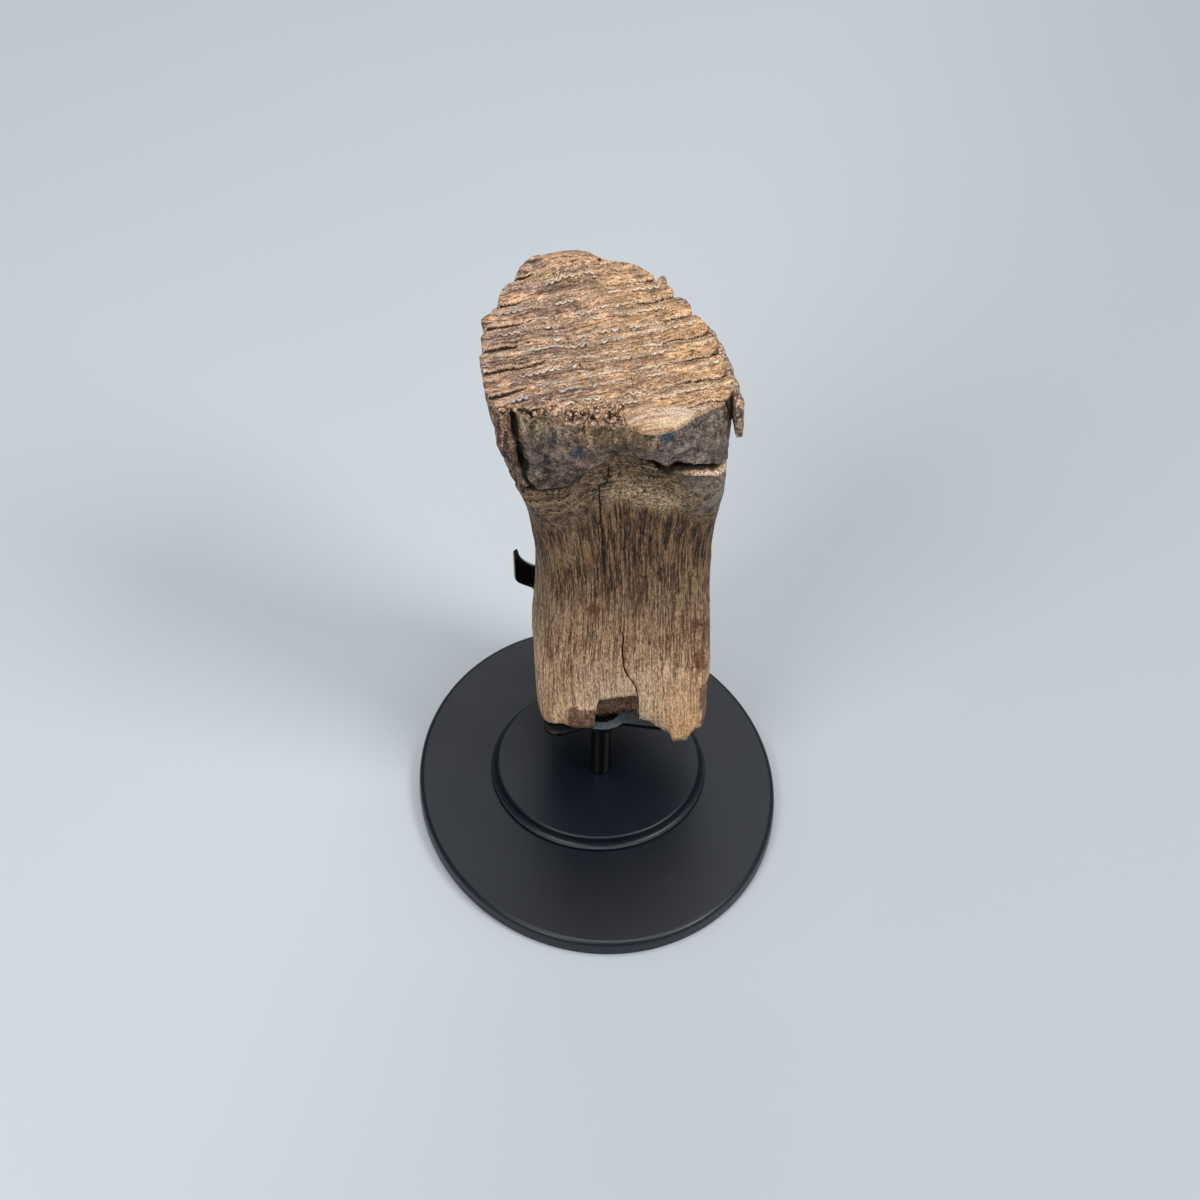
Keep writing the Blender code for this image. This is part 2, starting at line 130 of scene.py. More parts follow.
def blend(factor, a, b):
    first, second = (c if isinstance(c, bpy.types.NodeSocket) else (*c, 1.0) for c in (a, b))
    return addNode("ShaderNodeMix", {0: factor, 6: first, 7: second}, data_type="RGBA").outputs[2]


def twoTone(value, low, high, dark, light):
    return blend(remap(value, low, high), dark, light)


def attribute(name, vector=False):
    return addNode("ShaderNodeAttribute", attribute_name=name).outputs["Vector" if vector else "Fac"]


def objectPlace():
    # place in millimetres
    coordinates = addNode("ShaderNodeTexCoord").outputs["Object"]
    return vectorCalc("MULTIPLY", coordinates, (1000.0, 1000.0, 1000.0))


def relief(height, strength, distance, below=None):
    sockets = {"Height": height, "Strength": strength, "Distance": distance}
    if below is not None:
        sockets["Normal"] = below
    return addNode("ShaderNodeBump", sockets).outputs[0]


def veins(vector, scale, width, detail=4.0, distortion=0.0):
    # thin lines where the noise passes through its middle value
    away = apart(speckle(vector, scale, detail, 0.6, distortion), 0.5)
    return remap(away, 0.3 * width, width, 1.0, 0.0)


def spot(flat, x, z, size, ragged):
    reach = addNode("ShaderNodeVectorMath", {0: flat, 1: (x, 0.0, z)}, operation="DISTANCE").outputs["Value"]
    return remap(plus(reach, ragged), 0.5 * size, size, 1.0, 0.0, smooth=True)


def newMaterial(name):
    material = bpy.data.materials.new(name)
    material.use_nodes = True
    canvas["tree"] = material.node_tree
    return material, material.node_tree.nodes["Principled BSDF"]


view = {"place": (-0.1236, -0.6388, 0.7799), "down": 0.808446593841278, "turn": math.radians(-10.93),
        "roll": 0.023063006381054865, "lens": 84.0}


def placeCamera():
    data = bpy.data.cameras.new("camera")
    data.sensor_width = 36.0
    data.lens = view["lens"]
    data.clip_end = 20.0
    item = bpy.data.objects.new("camera", data)
    bpy.context.scene.collection.objects.link(item)
    forward = Vector((0.0, math.cos(view["down"]), -math.sin(view["down"])))
    right = Vector((1.0, 0.0, 0.0))
    up = right.cross(forward)
    cosRoll, sinRoll = math.cos(view["roll"]), math.sin(view["roll"])
    right, up = cosRoll * right + sinRoll * up, cosRoll * up - sinRoll * right
    turned = Matrix.Rotation(view["turn"], 3, "Z") @ Matrix((right, up, -forward)).transposed()
    item.location = view["place"]
    item.rotation_mode = "QUATERNION"
    item.rotation_quaternion = turned.to_quaternion()
    bpy.context.scene.camera = item


studio = {"floorTint": (0.545, 0.600, 0.655), "world": (0.76, 0.89, 1.0), "worldPower": 0.14,
          "lampTint": (1.0, 0.975, 0.94), "aim": (0.0, 0.0, 0.1), "floorRoughness": 0.75, "floorHalf": 4.0,
          "fallNear": 200.0, "fallLight": 1.06, "fallDark": 0.885,
          "lamps": (("left", (-0.90, -0.75, 1.25), 0.7, 10.0), ("right", (0.95, -0.65, 1.25), 0.6, 13.0),
                    ("above", (0.05, 0.20, 1.8), 0.8, 13.2), ("back", (0.45, 1.55, 1.75), 1.4, 6.6))}


def setStudio():
    bpy.context.scene.view_settings.view_transform = "Standard"
    world = bpy.data.worlds.new("studio")
    world.use_nodes = True
    background = world.node_tree.nodes["Background"]
    background.inputs["Color"].default_value = (*studio["world"], 1.0)
    background.inputs["Strength"].default_value = studio["worldPower"]
    bpy.context.scene.world = world
    for name, place, size, power in studio["lamps"]:
        light = bpy.data.lights.new(name, "AREA")
        light.shape = "SQUARE"
        light.size = size
        light.energy = power
        light.color = studio["lampTint"]
        item = bpy.data.objects.new(name, light)
        item.location = place
        aim = Vector(studio["aim"]) - Vector(place)
        item.rotation_mode = "QUATERNION"
        item.rotation_quaternion = aim.to_track_quat("-Z", "Y")
        bpy.context.scene.collection.objects.link(item)

    material, shader = newMaterial("paleFloor")
    place = objectPlace()
    cloud = speckle(place, 0.004, 3.0)
    tint = studio["floorTint"]
    colour = blend(cloud, tuple(0.985 * c for c in tint), tuple(min(1.0, 1.015 * c) for c in tint))
    # a little darker away from the lamps
    x, y = axes(place)[:2]
    nearer = linear(x, 1.3, times(y, -0.9))
    fall = remap(nearer, -studio["fallNear"], studio["fallNear"], studio["fallLight"], studio["fallDark"],
                 smooth=True)
    colour = scaled(colour, fall)
    fill(shader, {"Base Color": colour, "Roughness": studio["floorRoughness"]})
    bm = bmesh.new()
    bmesh.ops.create_grid(bm, x_segments=4, y_segments=4, size=studio["floorHalf"])
    mesh = bpy.data.meshes.new("floor")
    bm.to_mesh(mesh)
    bm.free()
    mesh.materials.append(material)
    floor = bpy.data.objects.new("floor", mesh)
    bpy.context.scene.collection.objects.link(floor)


def addPiece(name, bm, material, sharpAngle=40.0):
    bmesh.ops.recalc_face_normals(bm, faces=bm.faces)
    mesh = bpy.data.meshes.new(name)
    bm.to_mesh(mesh)
    bm.free()
    mesh.materials.append(material)
    mesh.shade_smooth()
    mesh.set_sharp_from_angle(angle=math.radians(sharpAngle))
    item = bpy.data.objects.new(name, mesh)
    bpy.context.scene.collection.objects.link(item)
    return item


def settle(item):
    # replaces the object's mesh by its evaluated one and drops the modifiers
    graph = bpy.context.evaluated_depsgraph_get()
    mesh = bpy.data.meshes.new_from_object(item.evaluated_get(graph), depsgraph=graph)
    item.modifiers.clear()
    item.data = mesh
    return item


def nodeGroup(name, sizes):
    tree = bpy.data.node_groups.new(name, "GeometryNodeTree")
    canvas["tree"] = tree
    tree.interface.new_socket("Geometry", in_out="INPUT", socket_type="NodeSocketGeometry")
    for key in sizes:
        tree.interface.new_socket(key, in_out="INPUT", socket_type="NodeSocketFloat")
    tree.interface.new_socket("Geometry", in_out="OUTPUT", socket_type="NodeSocketGeometry")
    return tree, addNode("NodeGroupInput"), addNode("NodeGroupOutput")


def deliver(geometry, material, end):
    # real geometry with its material, to the group's output
    solid = addNode("GeometryNodeRealizeInstances", {0: geometry}).outputs[0]
    fill(end, {0: addNode("GeometryNodeSetMaterial", {0: solid, "Material": material}).outputs[0]})


def grow(name, mesh, tree, sizes):
    # runs a node tree on a mesh and keeps what it makes as a plain mesh
    item = bpy.data.objects.new(name, mesh)
    bpy.context.scene.collection.objects.link(item)
    modifier = item.modifiers.new("grow", "NODES")
    modifier.node_group = tree
    for socket in tree.interface.items_tree:
        if socket.in_out == "INPUT" and socket.name in sizes:
            modifier[socket.identifier] = sizes[socket.name]
    settle(item)
    print(name + ":", len(item.data.polygons), "faces")
    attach(item, "root")
    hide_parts("tooth")
    return item


def ringedBody(rings):
    # closed body through rings of points, with a fan of faces at each end
    bm = bmesh.new()
    rows = [[bm.verts.new(point) for point in ring] for ring in rings]
    count = len(rows[0])
    for lower, upper in zip(rows, rows[1:]):
        for i in range(count):
            j = (i + 1) % count
            bm.faces.new((lower[i], lower[j], upper[j], upper[i]))
    bm.faces.new(list(reversed(rows[0])))
    bm.faces.new(rows[-1])
    return bm


def ovalRing(halfX, halfY, centre, height, segments):
    ring = []
    for i in range(segments):
        angle = 2.0 * math.pi * i / segments
        ring.append(Vector((centre[0] + halfX * math.cos(angle), centre[1] + halfY * math.sin(angle), height)))
    return ring


def roundedCorner(inset, height, radius, steps, start, stop):
    # profile points around a corner's centre, angles in degrees from straight out
    points = []
    for step in range(steps + 1):
        angle = math.radians(start + (stop - start) * step / steps)
        points.append((inset + radius * (1.0 - math.cos(angle)), height + radius * math.sin(angle)))
    return points


basePlate = {"halfX": 63.5, "halfY": 74.7, "thick": 5.7, "edge": 1.8, "foot": 0.5, "segments": 288}
plinth = {"centre": (1.4, 4.7), "top": 36.5, "foot": 38.6, "lip": 0.8, "height": 10.3, "edge": 0.9, "segments": 224}
post = {"centre": (1.5, 1.0), "radius": 3.75, "edge": 0.45, "bore": 2.4, "boreDepth": 8.0, "segments": 96}
gap = 0.3


def ringsFromProfile(profile, halfX, halfY, centre, segments):
    return [ovalRing((halfX - inset) * mm, (halfY - inset) * mm, (centre[0] * mm, centre[1] * mm), height * mm,
                     segments) for inset, height in profile]


def makeBasePlate(material):
    p = basePlate
    profile = [(40.0, 0.0), (2.0, 0.0), (0.9, 0.0)]
    profile += roundedCorner(0.0, p["foot"], p["foot"], 4, -90.0, 0.0)
    profile += roundedCorner(0.0, p["thick"] - p["edge"], p["edge"], 12, 0.0, 90.0)
    profile += [(p["edge"] + 0.25, p["thick"]), (6.0, p["thick"]), (18.0, p["thick"]), (34.0, p["thick"]),
                (50.0, p["thick"])]
    rings = ringsFromProfile(profile, p["halfX"], p["halfY"], (0.0, 0.0), p["segments"])
    item = addPiece("basePlate", ringedBody(rings), material)
    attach(item, "root")
    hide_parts("base_plate")


def makePlinth(material):
    p = plinth
    bottom = basePlate["thick"] + gap
    wide = p["foot"] - p["top"]
    profile = [(30.0, bottom), (0.5, bottom), (0.12, bottom + 0.06), (0.0, bottom + 0.2),
               (0.0, bottom + p["lip"] - 0.25), (0.08, bottom + p["lip"] - 0.07), (0.25, bottom + p["lip"])]
    steps = 10
    rimBottom = p["height"] - p["edge"]
    for step in range(1, steps + 1):
        angle = 0.5 * math.pi * step / steps
        inset = 0.25 + (wide - 0.25) * math.sin(angle)
        profile.append((inset, bottom + p["lip"] + (rimBottom - bottom - p["lip"]) * (1.0 - math.cos(angle))))
    profile += roundedCorner(wide, rimBottom, p["edge"], 8, 10.0, 90.0)
    profile += [(wide + p["edge"] + 0.2, p["height"]), (12.0, p["height"]), (24.0, p["height"]),
                (33.0, p["height"])]
    rings = ringsFromProfile(profile, p["foot"], p["foot"], p["centre"], p["segments"])
    item = addPiece("plinthTurned", ringedBody(rings), material)
    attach(item, "root")
    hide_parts("plinth")


def makePost(material):
    p = post
    bottom = plinth["height"] + gap
    top = holder["top"] - holder["sheet"] - gap
    wall = p["radius"] - p["bore"]
    profile = [(2.0, bottom), (0.35, bottom)]
    profile += roundedCorner(0.0, bottom + 0.3, 0.3, 4, -80.0, 0.0)
    profile += [(0.0, bottom + 3.0), (0.0, top - 6.0)]
    profile += roundedCorner(0.0, top - p["edge"], p["edge"], 5, 0.0, 90.0)
    profile += [(wall - 0.2, top), (wall, top - 0.2), (wall, top - p["boreDepth"]),
                (p["radius"] - 0.6, top - p["boreDepth"])]
    rings = ringsFromProfile(profile, p["radius"], p["radius"], p["centre"], p["segments"])
    item = addPiece("postRod", ringedBody(rings), material)
    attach(item, "root")
    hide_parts("post")


screw = {"head": 5.6, "headHeight": 0.9, "shank": 2.0, "length": 7.0, "socket": 2.0, "socketDepth": 0.6}


def makeScrew(material):
    p = screw
    seat = holder["top"] - holder["recessDepth"] + gap
    top = seat + p["headHeight"]
    head = p["head"]
    profile = [(head - p["shank"] + 0.3, seat - p["length"]), (head - p["shank"], seat - p["length"] + 0.3)]
    turns = 24
    for turn in range(turns):  # shallow thread on the shank
        height = seat - p["length"] + 0.4 + 0.21 * turn
        profile.append((head - p["shank"] + (0.0 if turn % 2 else 0.18), height))
    profile += [(head - p["shank"], seat - 0.4), (head - p["shank"], seat), (0.25, seat), (0.0, seat + 0.12)]
    domeSteps = 8
    for step in range(1, domeSteps + 1):
        share = step / domeSteps
        profile.append((0.58 * head * share, seat + 0.25 + (top - seat - 0.25) * math.sin(0.5 * math.pi * share)))
    rings = ringsFromProfile(profile, head, head, post["centre"], 72)
    item = addPiece("hubScrew", ringedBody(rings), material)
    socket = ringsFromProfile([(0.0, top - p["socketDepth"]), (0.0, top + 1.0)], p["socket"], p["socket"],
                              post["centre"], 6)
    cutter = addPiece("socketCutter", ringedBody(socket), material)
    cutWith(item, cutter)
    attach(item, "root")
    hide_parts("hub_screw")


def cutWith(item, cutter, edge=0.0):
    modifier = item.modifiers.new("cut", "BOOLEAN")
    modifier.operation = "DIFFERENCE"
    modifier.solver = "EXACT"
    modifier.object = cutter
    if edge:
        bevel = item.modifiers.new("edge", "BEVEL")
        bevel.width = edge * mm
        bevel.segments = 3
        bevel.limit_method = "ANGLE"
        bevel.angle_limit = math.radians(50.0)
    settle(item)
    bpy.data.objects.remove(cutter, do_unlink=True)


holder = {"sheet": 2.0, "top": 42.0, "hub": 9.6, "arm": 10.4, "edge": 0.38, "rightAngle": -18.0, "rightReach": 29.0,
          "backAngle": 99.5, "backReach": 59.5, "leftAngle": 193.0, "leftReach": 21.7, "backEnd": 8.2,
          "bendRadius": 4.0, "bendAngle": 84.0, "forkHalf": 10.8, "flare": 6.0, "low": 5.0, "tip": 15.5,
          "tipRound": 1.6, "columns": 20, "rows": 26, "endSteps": 16, "arcSteps": 14, "recess": 6.3,
          "recessDepth": 1.3}


def holderOutline():
    p = holder
    half = 0.5 * p["arm"]
    spread = math.asin(half / p["hub"])
    arms = ((math.radians(p["rightAngle"]), p["rightReach"]), (math.radians(p["backAngle"]), p["backReach"]),
            (math.radians(p["leftAngle"]), p["leftReach"]))
    points = []
    backStart = 0
    for index, (angle, reach) in enumerate(arms):
        along = Vector((math.cos(angle), math.sin(angle)))
        across = Vector((-along.y, along.x))
        points.append(along * p["hub"] * math.cos(spread) - across * half)
        if index == 1:
            backStart = len(points)
            for column in range(p["columns"] + 1):
                points.append(along * reach + across * 0.5 * p["backEnd"] * (2.0 * column / p["columns"] - 1.0))
        else:
            for step in range(p["endSteps"] + 1):
                swing = math.pi * (step / p["endSteps"] - 0.5)
                points.append(along * (reach - half + half * math.cos(swing)) + across * half * math.sin(swing))
        points.append(along * p["hub"] * math.cos(spread) + across * half)
        following = arms[(index + 1) % 3][0] + (2.0 * math.pi if index == 2 else 0.0)
        start, stop = angle + spread, following - spread
        for step in range(1, p["arcSteps"]):
            turn = start + (stop - start) * step / p["arcSteps"]
            points.append(Vector((math.cos(turn), math.sin(turn))) * p["hub"])
    return points, backStart


def forkPlace(share, column):
    p = holder
    across = 2.0 * column / p["columns"] - 1.0
    bendAngle = math.radians(p["bendAngle"])
    bendLength = p["bendRadius"] * bendAngle
    topLength = p["low"] + (p["tip"] - p["low"]) * abs(across) ** 1.7
    length = share * (bendLength + topLength)
    if length < bendLength:
        lean = length / p["bendRadius"]
        along, up = p["bendRadius"] * math.sin(lean), p["bendRadius"] * (1.0 - math.cos(lean))
    else:
        lean = bendAngle
        rise = length - bendLength
        along = p["bendRadius"] * math.sin(lean) + rise * math.cos(lean)
        up = p["bendRadius"] * (1.0 - math.cos(lean)) + rise * math.sin(lean)
    flare = min(1.0, max(0.0, (length - 0.5 * bendLength) / p["flare"]))
    half = 0.5 * p["backEnd"] + (p["forkHalf"] - 0.5 * p["backEnd"]) * math.sin(0.5 * math.pi * flare)
    near = min(1.0, max(0.0, (length - bendLength - topLength + p["tipRound"]) / p["tipRound"]))
    half -= p["tipRound"] * (1.0 - math.sqrt(max(0.0, 1.0 - near * near))) * abs(across) ** 6
    return along, up, lean, across * half


def makeHolder(material):
    p = holder
    outline, backStart = holderOutline()
    hub = Vector((post["centre"][0], post["centre"][1], 0.0))
    bm = bmesh.new()
    lower = [bm.verts.new((hub + Vector((q.x, q.y, p["top"] - p["sheet"]))) * mm) for q in outline]
    upper = [bm.verts.new((hub + Vector((q.x, q.y, p["top"]))) * mm) for q in outline]
    bm.faces.new(list(reversed(lower)))
    bm.faces.new(upper)
    count = len(outline)
    for i in range(count):
        if not backStart <= i < backStart + p["columns"]:
            j = (i + 1) % count
            bm.faces.new((lower[i], lower[j], upper[j], upper[i]))
    angle = math.radians(p["backAngle"])
    along = Vector((math.cos(angle), math.sin(angle), 0.0))
    across = Vector((-along.y, along.x, 0.0))
    lastLower = lower[backStart:backStart + p["columns"] + 1]
    lastUpper = upper[backStart:backStart + p["columns"] + 1]
    for row in range(1, p["rows"] + 1):
        nextLower, nextUpper = [], []
        for column in range(p["columns"] + 1):
            forward, up, lean, side = forkPlace(row / p["rows"], column)
            inner = hub + along * (p["backReach"] + forward) + across * side + Vector((0.0, 0.0, p["top"] + up))
            outward = along * math.sin(lean) - Vector((0.0, 0.0, math.cos(lean)))
            nextUpper.append(bm.verts.new(inner * mm))
            nextLower.append(bm.verts.new((inner + outward * p["sheet"]) * mm))
        for column in range(p["columns"]):
            after = column + 1
            bm.faces.new((lastLower[column], lastLower[after], nextLower[after], nextLower[column]))
            bm.faces.new((lastUpper[column], nextUpper[column], nextUpper[after], lastUpper[after]))
        bm.faces.new((lastLower[0], nextLower[0], nextUpper[0], lastUpper[0]))
        bm.faces.new((lastLower[-1], lastUpper[-1], nextUpper[-1], nextLower[-1]))
        lastLower, lastUpper = nextLower, nextUpper
    for column in range(p["columns"]):
        bm.faces.new((lastLower[column], lastLower[column + 1], lastUpper[column + 1], lastUpper[column]))
    item = addPiece("holderSheet", bm, material)
    recess = [(p["recess"] - post["bore"], p["top"] - p["sheet"] - 1.0),
              (p["recess"] - post["bore"], p["top"] - p["recessDepth"]), (0.0, p["top"] - p["recessDepth"]),
              (0.0, p["top"] + 1.0)]
    rings = ringsFromProfile(recess, p["recess"], p["recess"], post["centre"], 72)
    cutWith(item, addPiece("recessCutter", ringedBody(rings), material), p["edge"])
    item.data.shade_smooth()
    item.data.set_sharp_from_angle(angle=math.radians(40.0))
    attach(item, "root")
    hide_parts("holder")


def satinBlack():
    material, shader = newMaterial("satinBlackPaint")
    place = objectPlace()
    grain = speckle(place, 2.6, 4.0, 0.7)
    cloud = speckle(place, 0.05, 3.0)
    specks = fade(cells(place, 0.35), 0.02, 0.05)
    sparse = remap(speckle(place, 0.11, 2.0), 0.6, 0.72)
    dust = calc("MULTIPLY", specks, sparse, clamp=True)
    colour = blend(grain, (0.0022, 0.0048, 0.0100), (0.0054, 0.0104, 0.0190))
    colour = blend(times(dust, 0.55), colour, (0.35, 0.36, 0.37))
    rough = plus(remap(cloud, 0.3, 0.7, 0.34, 0.40), remap(grain, 0.3, 0.7, -0.03, 0.05))
    rough = plus(rough, times(dust, 0.3))
    fine = relief(grain, 0.22, 0.00012)
    fill(shader, {"Base Color": colour, "Roughness": rough, "Specular IOR Level": 0.50,
                  "Normal": relief(cloud, 0.05, 0.002, fine)})
    return material


def glossBlack():
    material, shader = newMaterial("glossBlackPaint")
    place = objectPlace()
    peel = speckle(place, 0.9, 2.0)
    wear = remap(speckle(place, 0.35, 5.0, 0.7), 0.62, 0.75)
    colour = blend(peel, (0.0015, 0.0018, 0.0022), (0.0032, 0.0038, 0.0046))
    colour = blend(times(wear, 0.2), colour, (0.03, 0.032, 0.036))
    # painted reflection: a pale bluish film on the flat top of the holder's sheet, faint on the left arm, stands in
    # for the sheen of the lit surroundings there
    parts = axes(place)
    paintedSheen = times(remap(parts[2], 41.75, 41.95), remap(parts[2], 42.3, 42.1), remap(peel, 0.3, 0.6, 0.6, 0.95),
                 remap(parts[0], -9.0, -4.0, 0.08, 1.0))
    colour = blend(paintedSheen, colour, (0.125, 0.150, 0.175))
    fill(shader, {"Base Color": colour, "Roughness": remap(peel, 0.3, 0.7, 0.12, 0.20), "Specular IOR Level": 0.36,
                  "Coat Weight": 0.28, "Coat Roughness": 0.10, "Normal": relief(peel, 0.12, 0.0004)})
    return material


# the tooth's form, in millimetres
tooth = {"bottom": 42.3, "top": 188.0, "pitch": 10.5, "firstGroove": -6.9, "tilt": 0.12, "tiltCentre": 3.0,
         "across": 110, "along": 118, "rootLevels": 66, "crownLevels": 82, "crownStart": 0.72, "crackShare": 0.838,
         "backShare": 0.975, "widestY": 5.0, "enamelAt": 0.54, "platesEnd": (62.0, 68.0), "lens": (15.0, -20.0),
         "wornMiddle": 2.4, "wornHalf": 38.6}
leftSide = ((42, -20.2), (72, -21.2), (94, -20.6), (113, -20.4), (132, -22.4),
            (146, -25.4), (162, -31.0), (175, -34.4), (188, -36.2))
rightSide = ((42, 37.8), (60, 38.3), (82, 38.0), (119, 36.6), (131, 36.8),
             (141, 38.2), (151, 39.6), (162, 40.2), (188, 41.0))
backSide = ((42, 60.0), (80, 60.5), (110, 61.0), (130, 63.5), (150, 69.0), (170, 74.5), (188, 76.5))
crackLine = ((-26, 156.0), (-20, 155.9), (-15, 157.0), (-11.9, 158.7), (-9.2, 161.9), (-5.3, 166.2), (-1.3, 169.4),
             (1.9, 172.4), (5.9, 173.2), (10.1, 171.7), (14.0, 170.4), (18.5, 166.4), (21.2, 168.0), (26.1, 166.0),
             (33.3, 164.0), (40.0, 162.2))
cornerGap = ((155.9, -23.2), (158.8, -25.2), (162.4, -26.2), (167.1, -26.9), (172.6, -27.5), (176.9, -28.4),
             (181.1, -28.5), (189.0, -29.7))
# vertical cracks on the front: height and x, then how deep
frontCracks = ((((114, -0.1), (122, -0.5), (130, -1.2), (138.8, -1.6), (144, -2.4), (150.1, -2.5), (156, -2.9),
                 (159.5, -3.0), (161, -0.6), (163.2, -0.3), (168, -0.1)), 0.8),
               (((46, 12.4), (52, 12.2), (59.3, 11.7), (63, 11.0), (65.3, 10.2), (68, 8.4), (71.4, 7.3), (76, 6.7),
                 (81.7, 6.3), (86, 6.6), (91, 6.1)), 1.1), (((131, 6.9), (138, 7.5), (147, 7.4)), 0.35),
               (((179, -8.6), (183, -8.0), (188, -7.6)), 0.7), (((167, 7.0), (170, 7.8), (173, 9.0)), 0.6))


# cracks across the collar: x and height, then how deep
collarSplits = (
    (((-2.9, 160.9), (0.8, 162.0), (4.5, 162.9), (9.6, 160.9), (11.1, 159.4), (15.7, 157.8), (21.0, 157.2)), 0.7),
    (((-10.0, 152.5), (-5.0, 154.8), (1.0, 155.2), (5.0, 153.6), (9.0, 153.9)), 0.4),
    (((5.0, 167.6), (6.7, 168.3), (8.2, 170.9)), 0.5))


def smoothStep(low, high, value):
    share = min(1.0, max(0.0, (value - low) / (high - low)))
    return share * share * (3.0 - 2.0 * share)


def bump(value, centre, width):
    return math.exp(-((value - centre) / width) ** 2)


def follow(stations, where):
    last = len(stations) - 1
    if where <= stations[0][0]:
        return stations[0][1]
    if where >= stations[last][0]:
        return stations[last][1]
    k = 0
    while where > stations[k + 1][0]:
        k += 1

    def slope(i):
        before, after = stations[max(0, i - 1)], stations[min(last, i + 1)]
        return (after[1] - before[1]) / (after[0] - before[0])
    (a, valueA), (b, valueB) = stations[k], stations[k + 1]
    t = (where - a) / (b - a)
    pullA, pullB = slope(k) * (b - a), slope(k + 1) * (b - a)
    return ((2 * t ** 3 - 3 * t ** 2 + 1) * valueA + (t ** 3 - 2 * t ** 2 + t) * pullA
            + (3 * t ** 2 - 2 * t ** 3) * valueB + (t ** 3 - t ** 2) * pullB)


def straight(stations, where):
    if where <= stations[0][0]:
        return stations[0][1]
    for before, after in zip(stations, stations[1:]):
        if where <= after[0]:
            t = (where - before[0]) / (after[0] - before[0])
            return before[1] + t * (after[1] - before[1])
    return stations[-1][1]


def lumps(x, y, z, size, seed):
    return noise.noise(Vector((x / size + 7.3 * seed, y / size - 3.1 * seed, z / size + 1.7 * seed)))


def plateCount(x, y):
    # whole numbers lie in the grooves between two plates
    bend = (0.9 * lumps(x, 0.0, 0.0, 17.0, 2.0) + 0.5 * lumps(x, y, 0.0, 9.0, 3.0)
            + 0.8 * lumps(x, 0.6 * y, 0.0, 5.5, 51.0))
    return (y - tooth["tilt"] * (x - tooth["tiltCentre"]) - tooth["firstGroove"] + bend) / tooth["pitch"]


def plateParts(x, y):
    # plate number, share of the plate, and millimetres to the nearest groove
    count = plateCount(x, y)
    place = count - math.floor(count)
    return count, place, min(place, 1.0 - place) * tooth["pitch"]


def acrossAt(x):
    # -1 at the worn surface's left edge, 1 at its right edge
    return (x - tooth["wornMiddle"]) / tooth["wornHalf"]


def frontLine(x, z):
    crown = -2.8 - 9.4 * bump(x, 15.0, 17.0) + 4.6 * smoothStep(-8.0, -28.0, x)
    root = -9.0 - 0.085 * (x - 8.0) + 2.2 * ((x - 8.0) / 30.0) ** 2
    root -= 4.2 * smoothStep(8.0, 26.0, x) * smoothStep(85.0, 45.0, z)
    swell = -2.6 * bump(z, 176.0, 9.0) - 1.2 * bump(z, 150.0, 10.0)
    return root + (crown - root) * smoothStep(150.0, 188.0, z) + swell


def wornTop(x, y, across):
    side = abs(across)
    worn = 188.0 + 0.8 * lumps(x, y, 0.0, 24.0, 1.0) - 0.9 * bump(y, 34.0, 20.0) * (1.0 - side ** 2)
    lens = 2.6 * bump(x, tooth["lens"][0], 13.0) * smoothStep(-4.0, -13.0, y)
    dome = (1.6 + 2.2 * bump(x, -1.0, 9.0)) * bump(y, 69.0, 6.0) - 2.4 * smoothStep(71.0, 78.0, y)
    return worn - lens + dome


def grooveOpen(x, y, side):
    # 1 where the groove between two plates stands open as a dark crack
    start = 0.62 + 0.30 * lumps(7.0 * math.floor(plateCount(x, y) + 0.5), 3.0 if x > 0.0 else 0.0, 0.0, 5.0, 11.0)
    return smoothStep(-0.06, 0.30, side - start + 0.16 * lumps(x, y, 0.0, 4.0, 19.0))


def crumbled(x, y):
    # front left of the worn surface, broken into crumbs
    edge = 1.6 * lumps(x, y, 0.0, 5.0, 17.0)
    return smoothStep(3.0, -3.5, y + 0.10 * x + edge) * smoothStep(10.0, 2.0, x + edge)


def topHeight(x, y, across):
    side = abs(across)
    count, place, groove = plateParts(x, y)
    enamelAway = (place - tooth["enamelAt"]) * tooth["pitch"]
    plates = 1.0 - smoothStep(*tooth["platesEnd"], y)
    ends = smoothStep(0.42, 0.95, side)
    height = (0.34 * math.cos(2.0 * math.pi * (count - 0.5))
              - 0.7 * max(0.0, math.cos(2.0 * math.pi * count)) ** 1.5 * ends)
    opened = grooveOpen(x, y, side)
    ragged = 0.5 * lumps(x, y, 0.0, 1.9, 20.0)
    spread = 0.28 + 0.34 * smoothStep(8.0, -14.0, x)
    height -= ((0.5 + 1.8 * opened) * bump(groove, 0.0, 0.42 + spread * opened + ragged * opened)
               * smoothStep(0.02, 0.3, opened))
    height += 0.40 * bump(groove, 1.6, 0.6) * opened + 0.26 * bump(groove, 0.0, 0.7) * (1.0 - opened)
    # each enamel wall stands up, with a small hollow worn in front of it
    worn = 0.6 + 0.8 * lumps(x, y, 0.0, 9.0, 18.0)
    height += 0.36 * bump(enamelAway, 0.25, 0.7) - 0.42 * worn * bump(enamelAway, -1.0, 0.7)
    rough = 0.26 * lumps(x * 0.35, y, 0.0, 1.7, 13.0) + 0.30 * lumps(x * 0.7, y, 0.0, 4.2, 12.0)
    rough += (0.12 + 0.20 * smoothStep(0.55, 0.95, place)) * lumps(x, y, 0.0, 1.5, 14.0)
    crumbly = crumbled(x, y)
    rough += crumbly * (2.8 * lumps(x, y, 0.0, 4.4, 15.0) + 1.9 * lumps(x, y, 0.0, 2.2, 16.0) - 1.2)
    arc = math.hypot(x - tooth["lens"][0], (y - tooth["lens"][1]) * 1.25)
    lensRim = smoothStep(0.0, -5.0, y) * (0.35 * bump(arc, 15.5, 0.8) + 0.35 * bump(arc, 18.6, 0.8))
    return wornTop(x, y, across) + height * plates + rough + lensRim


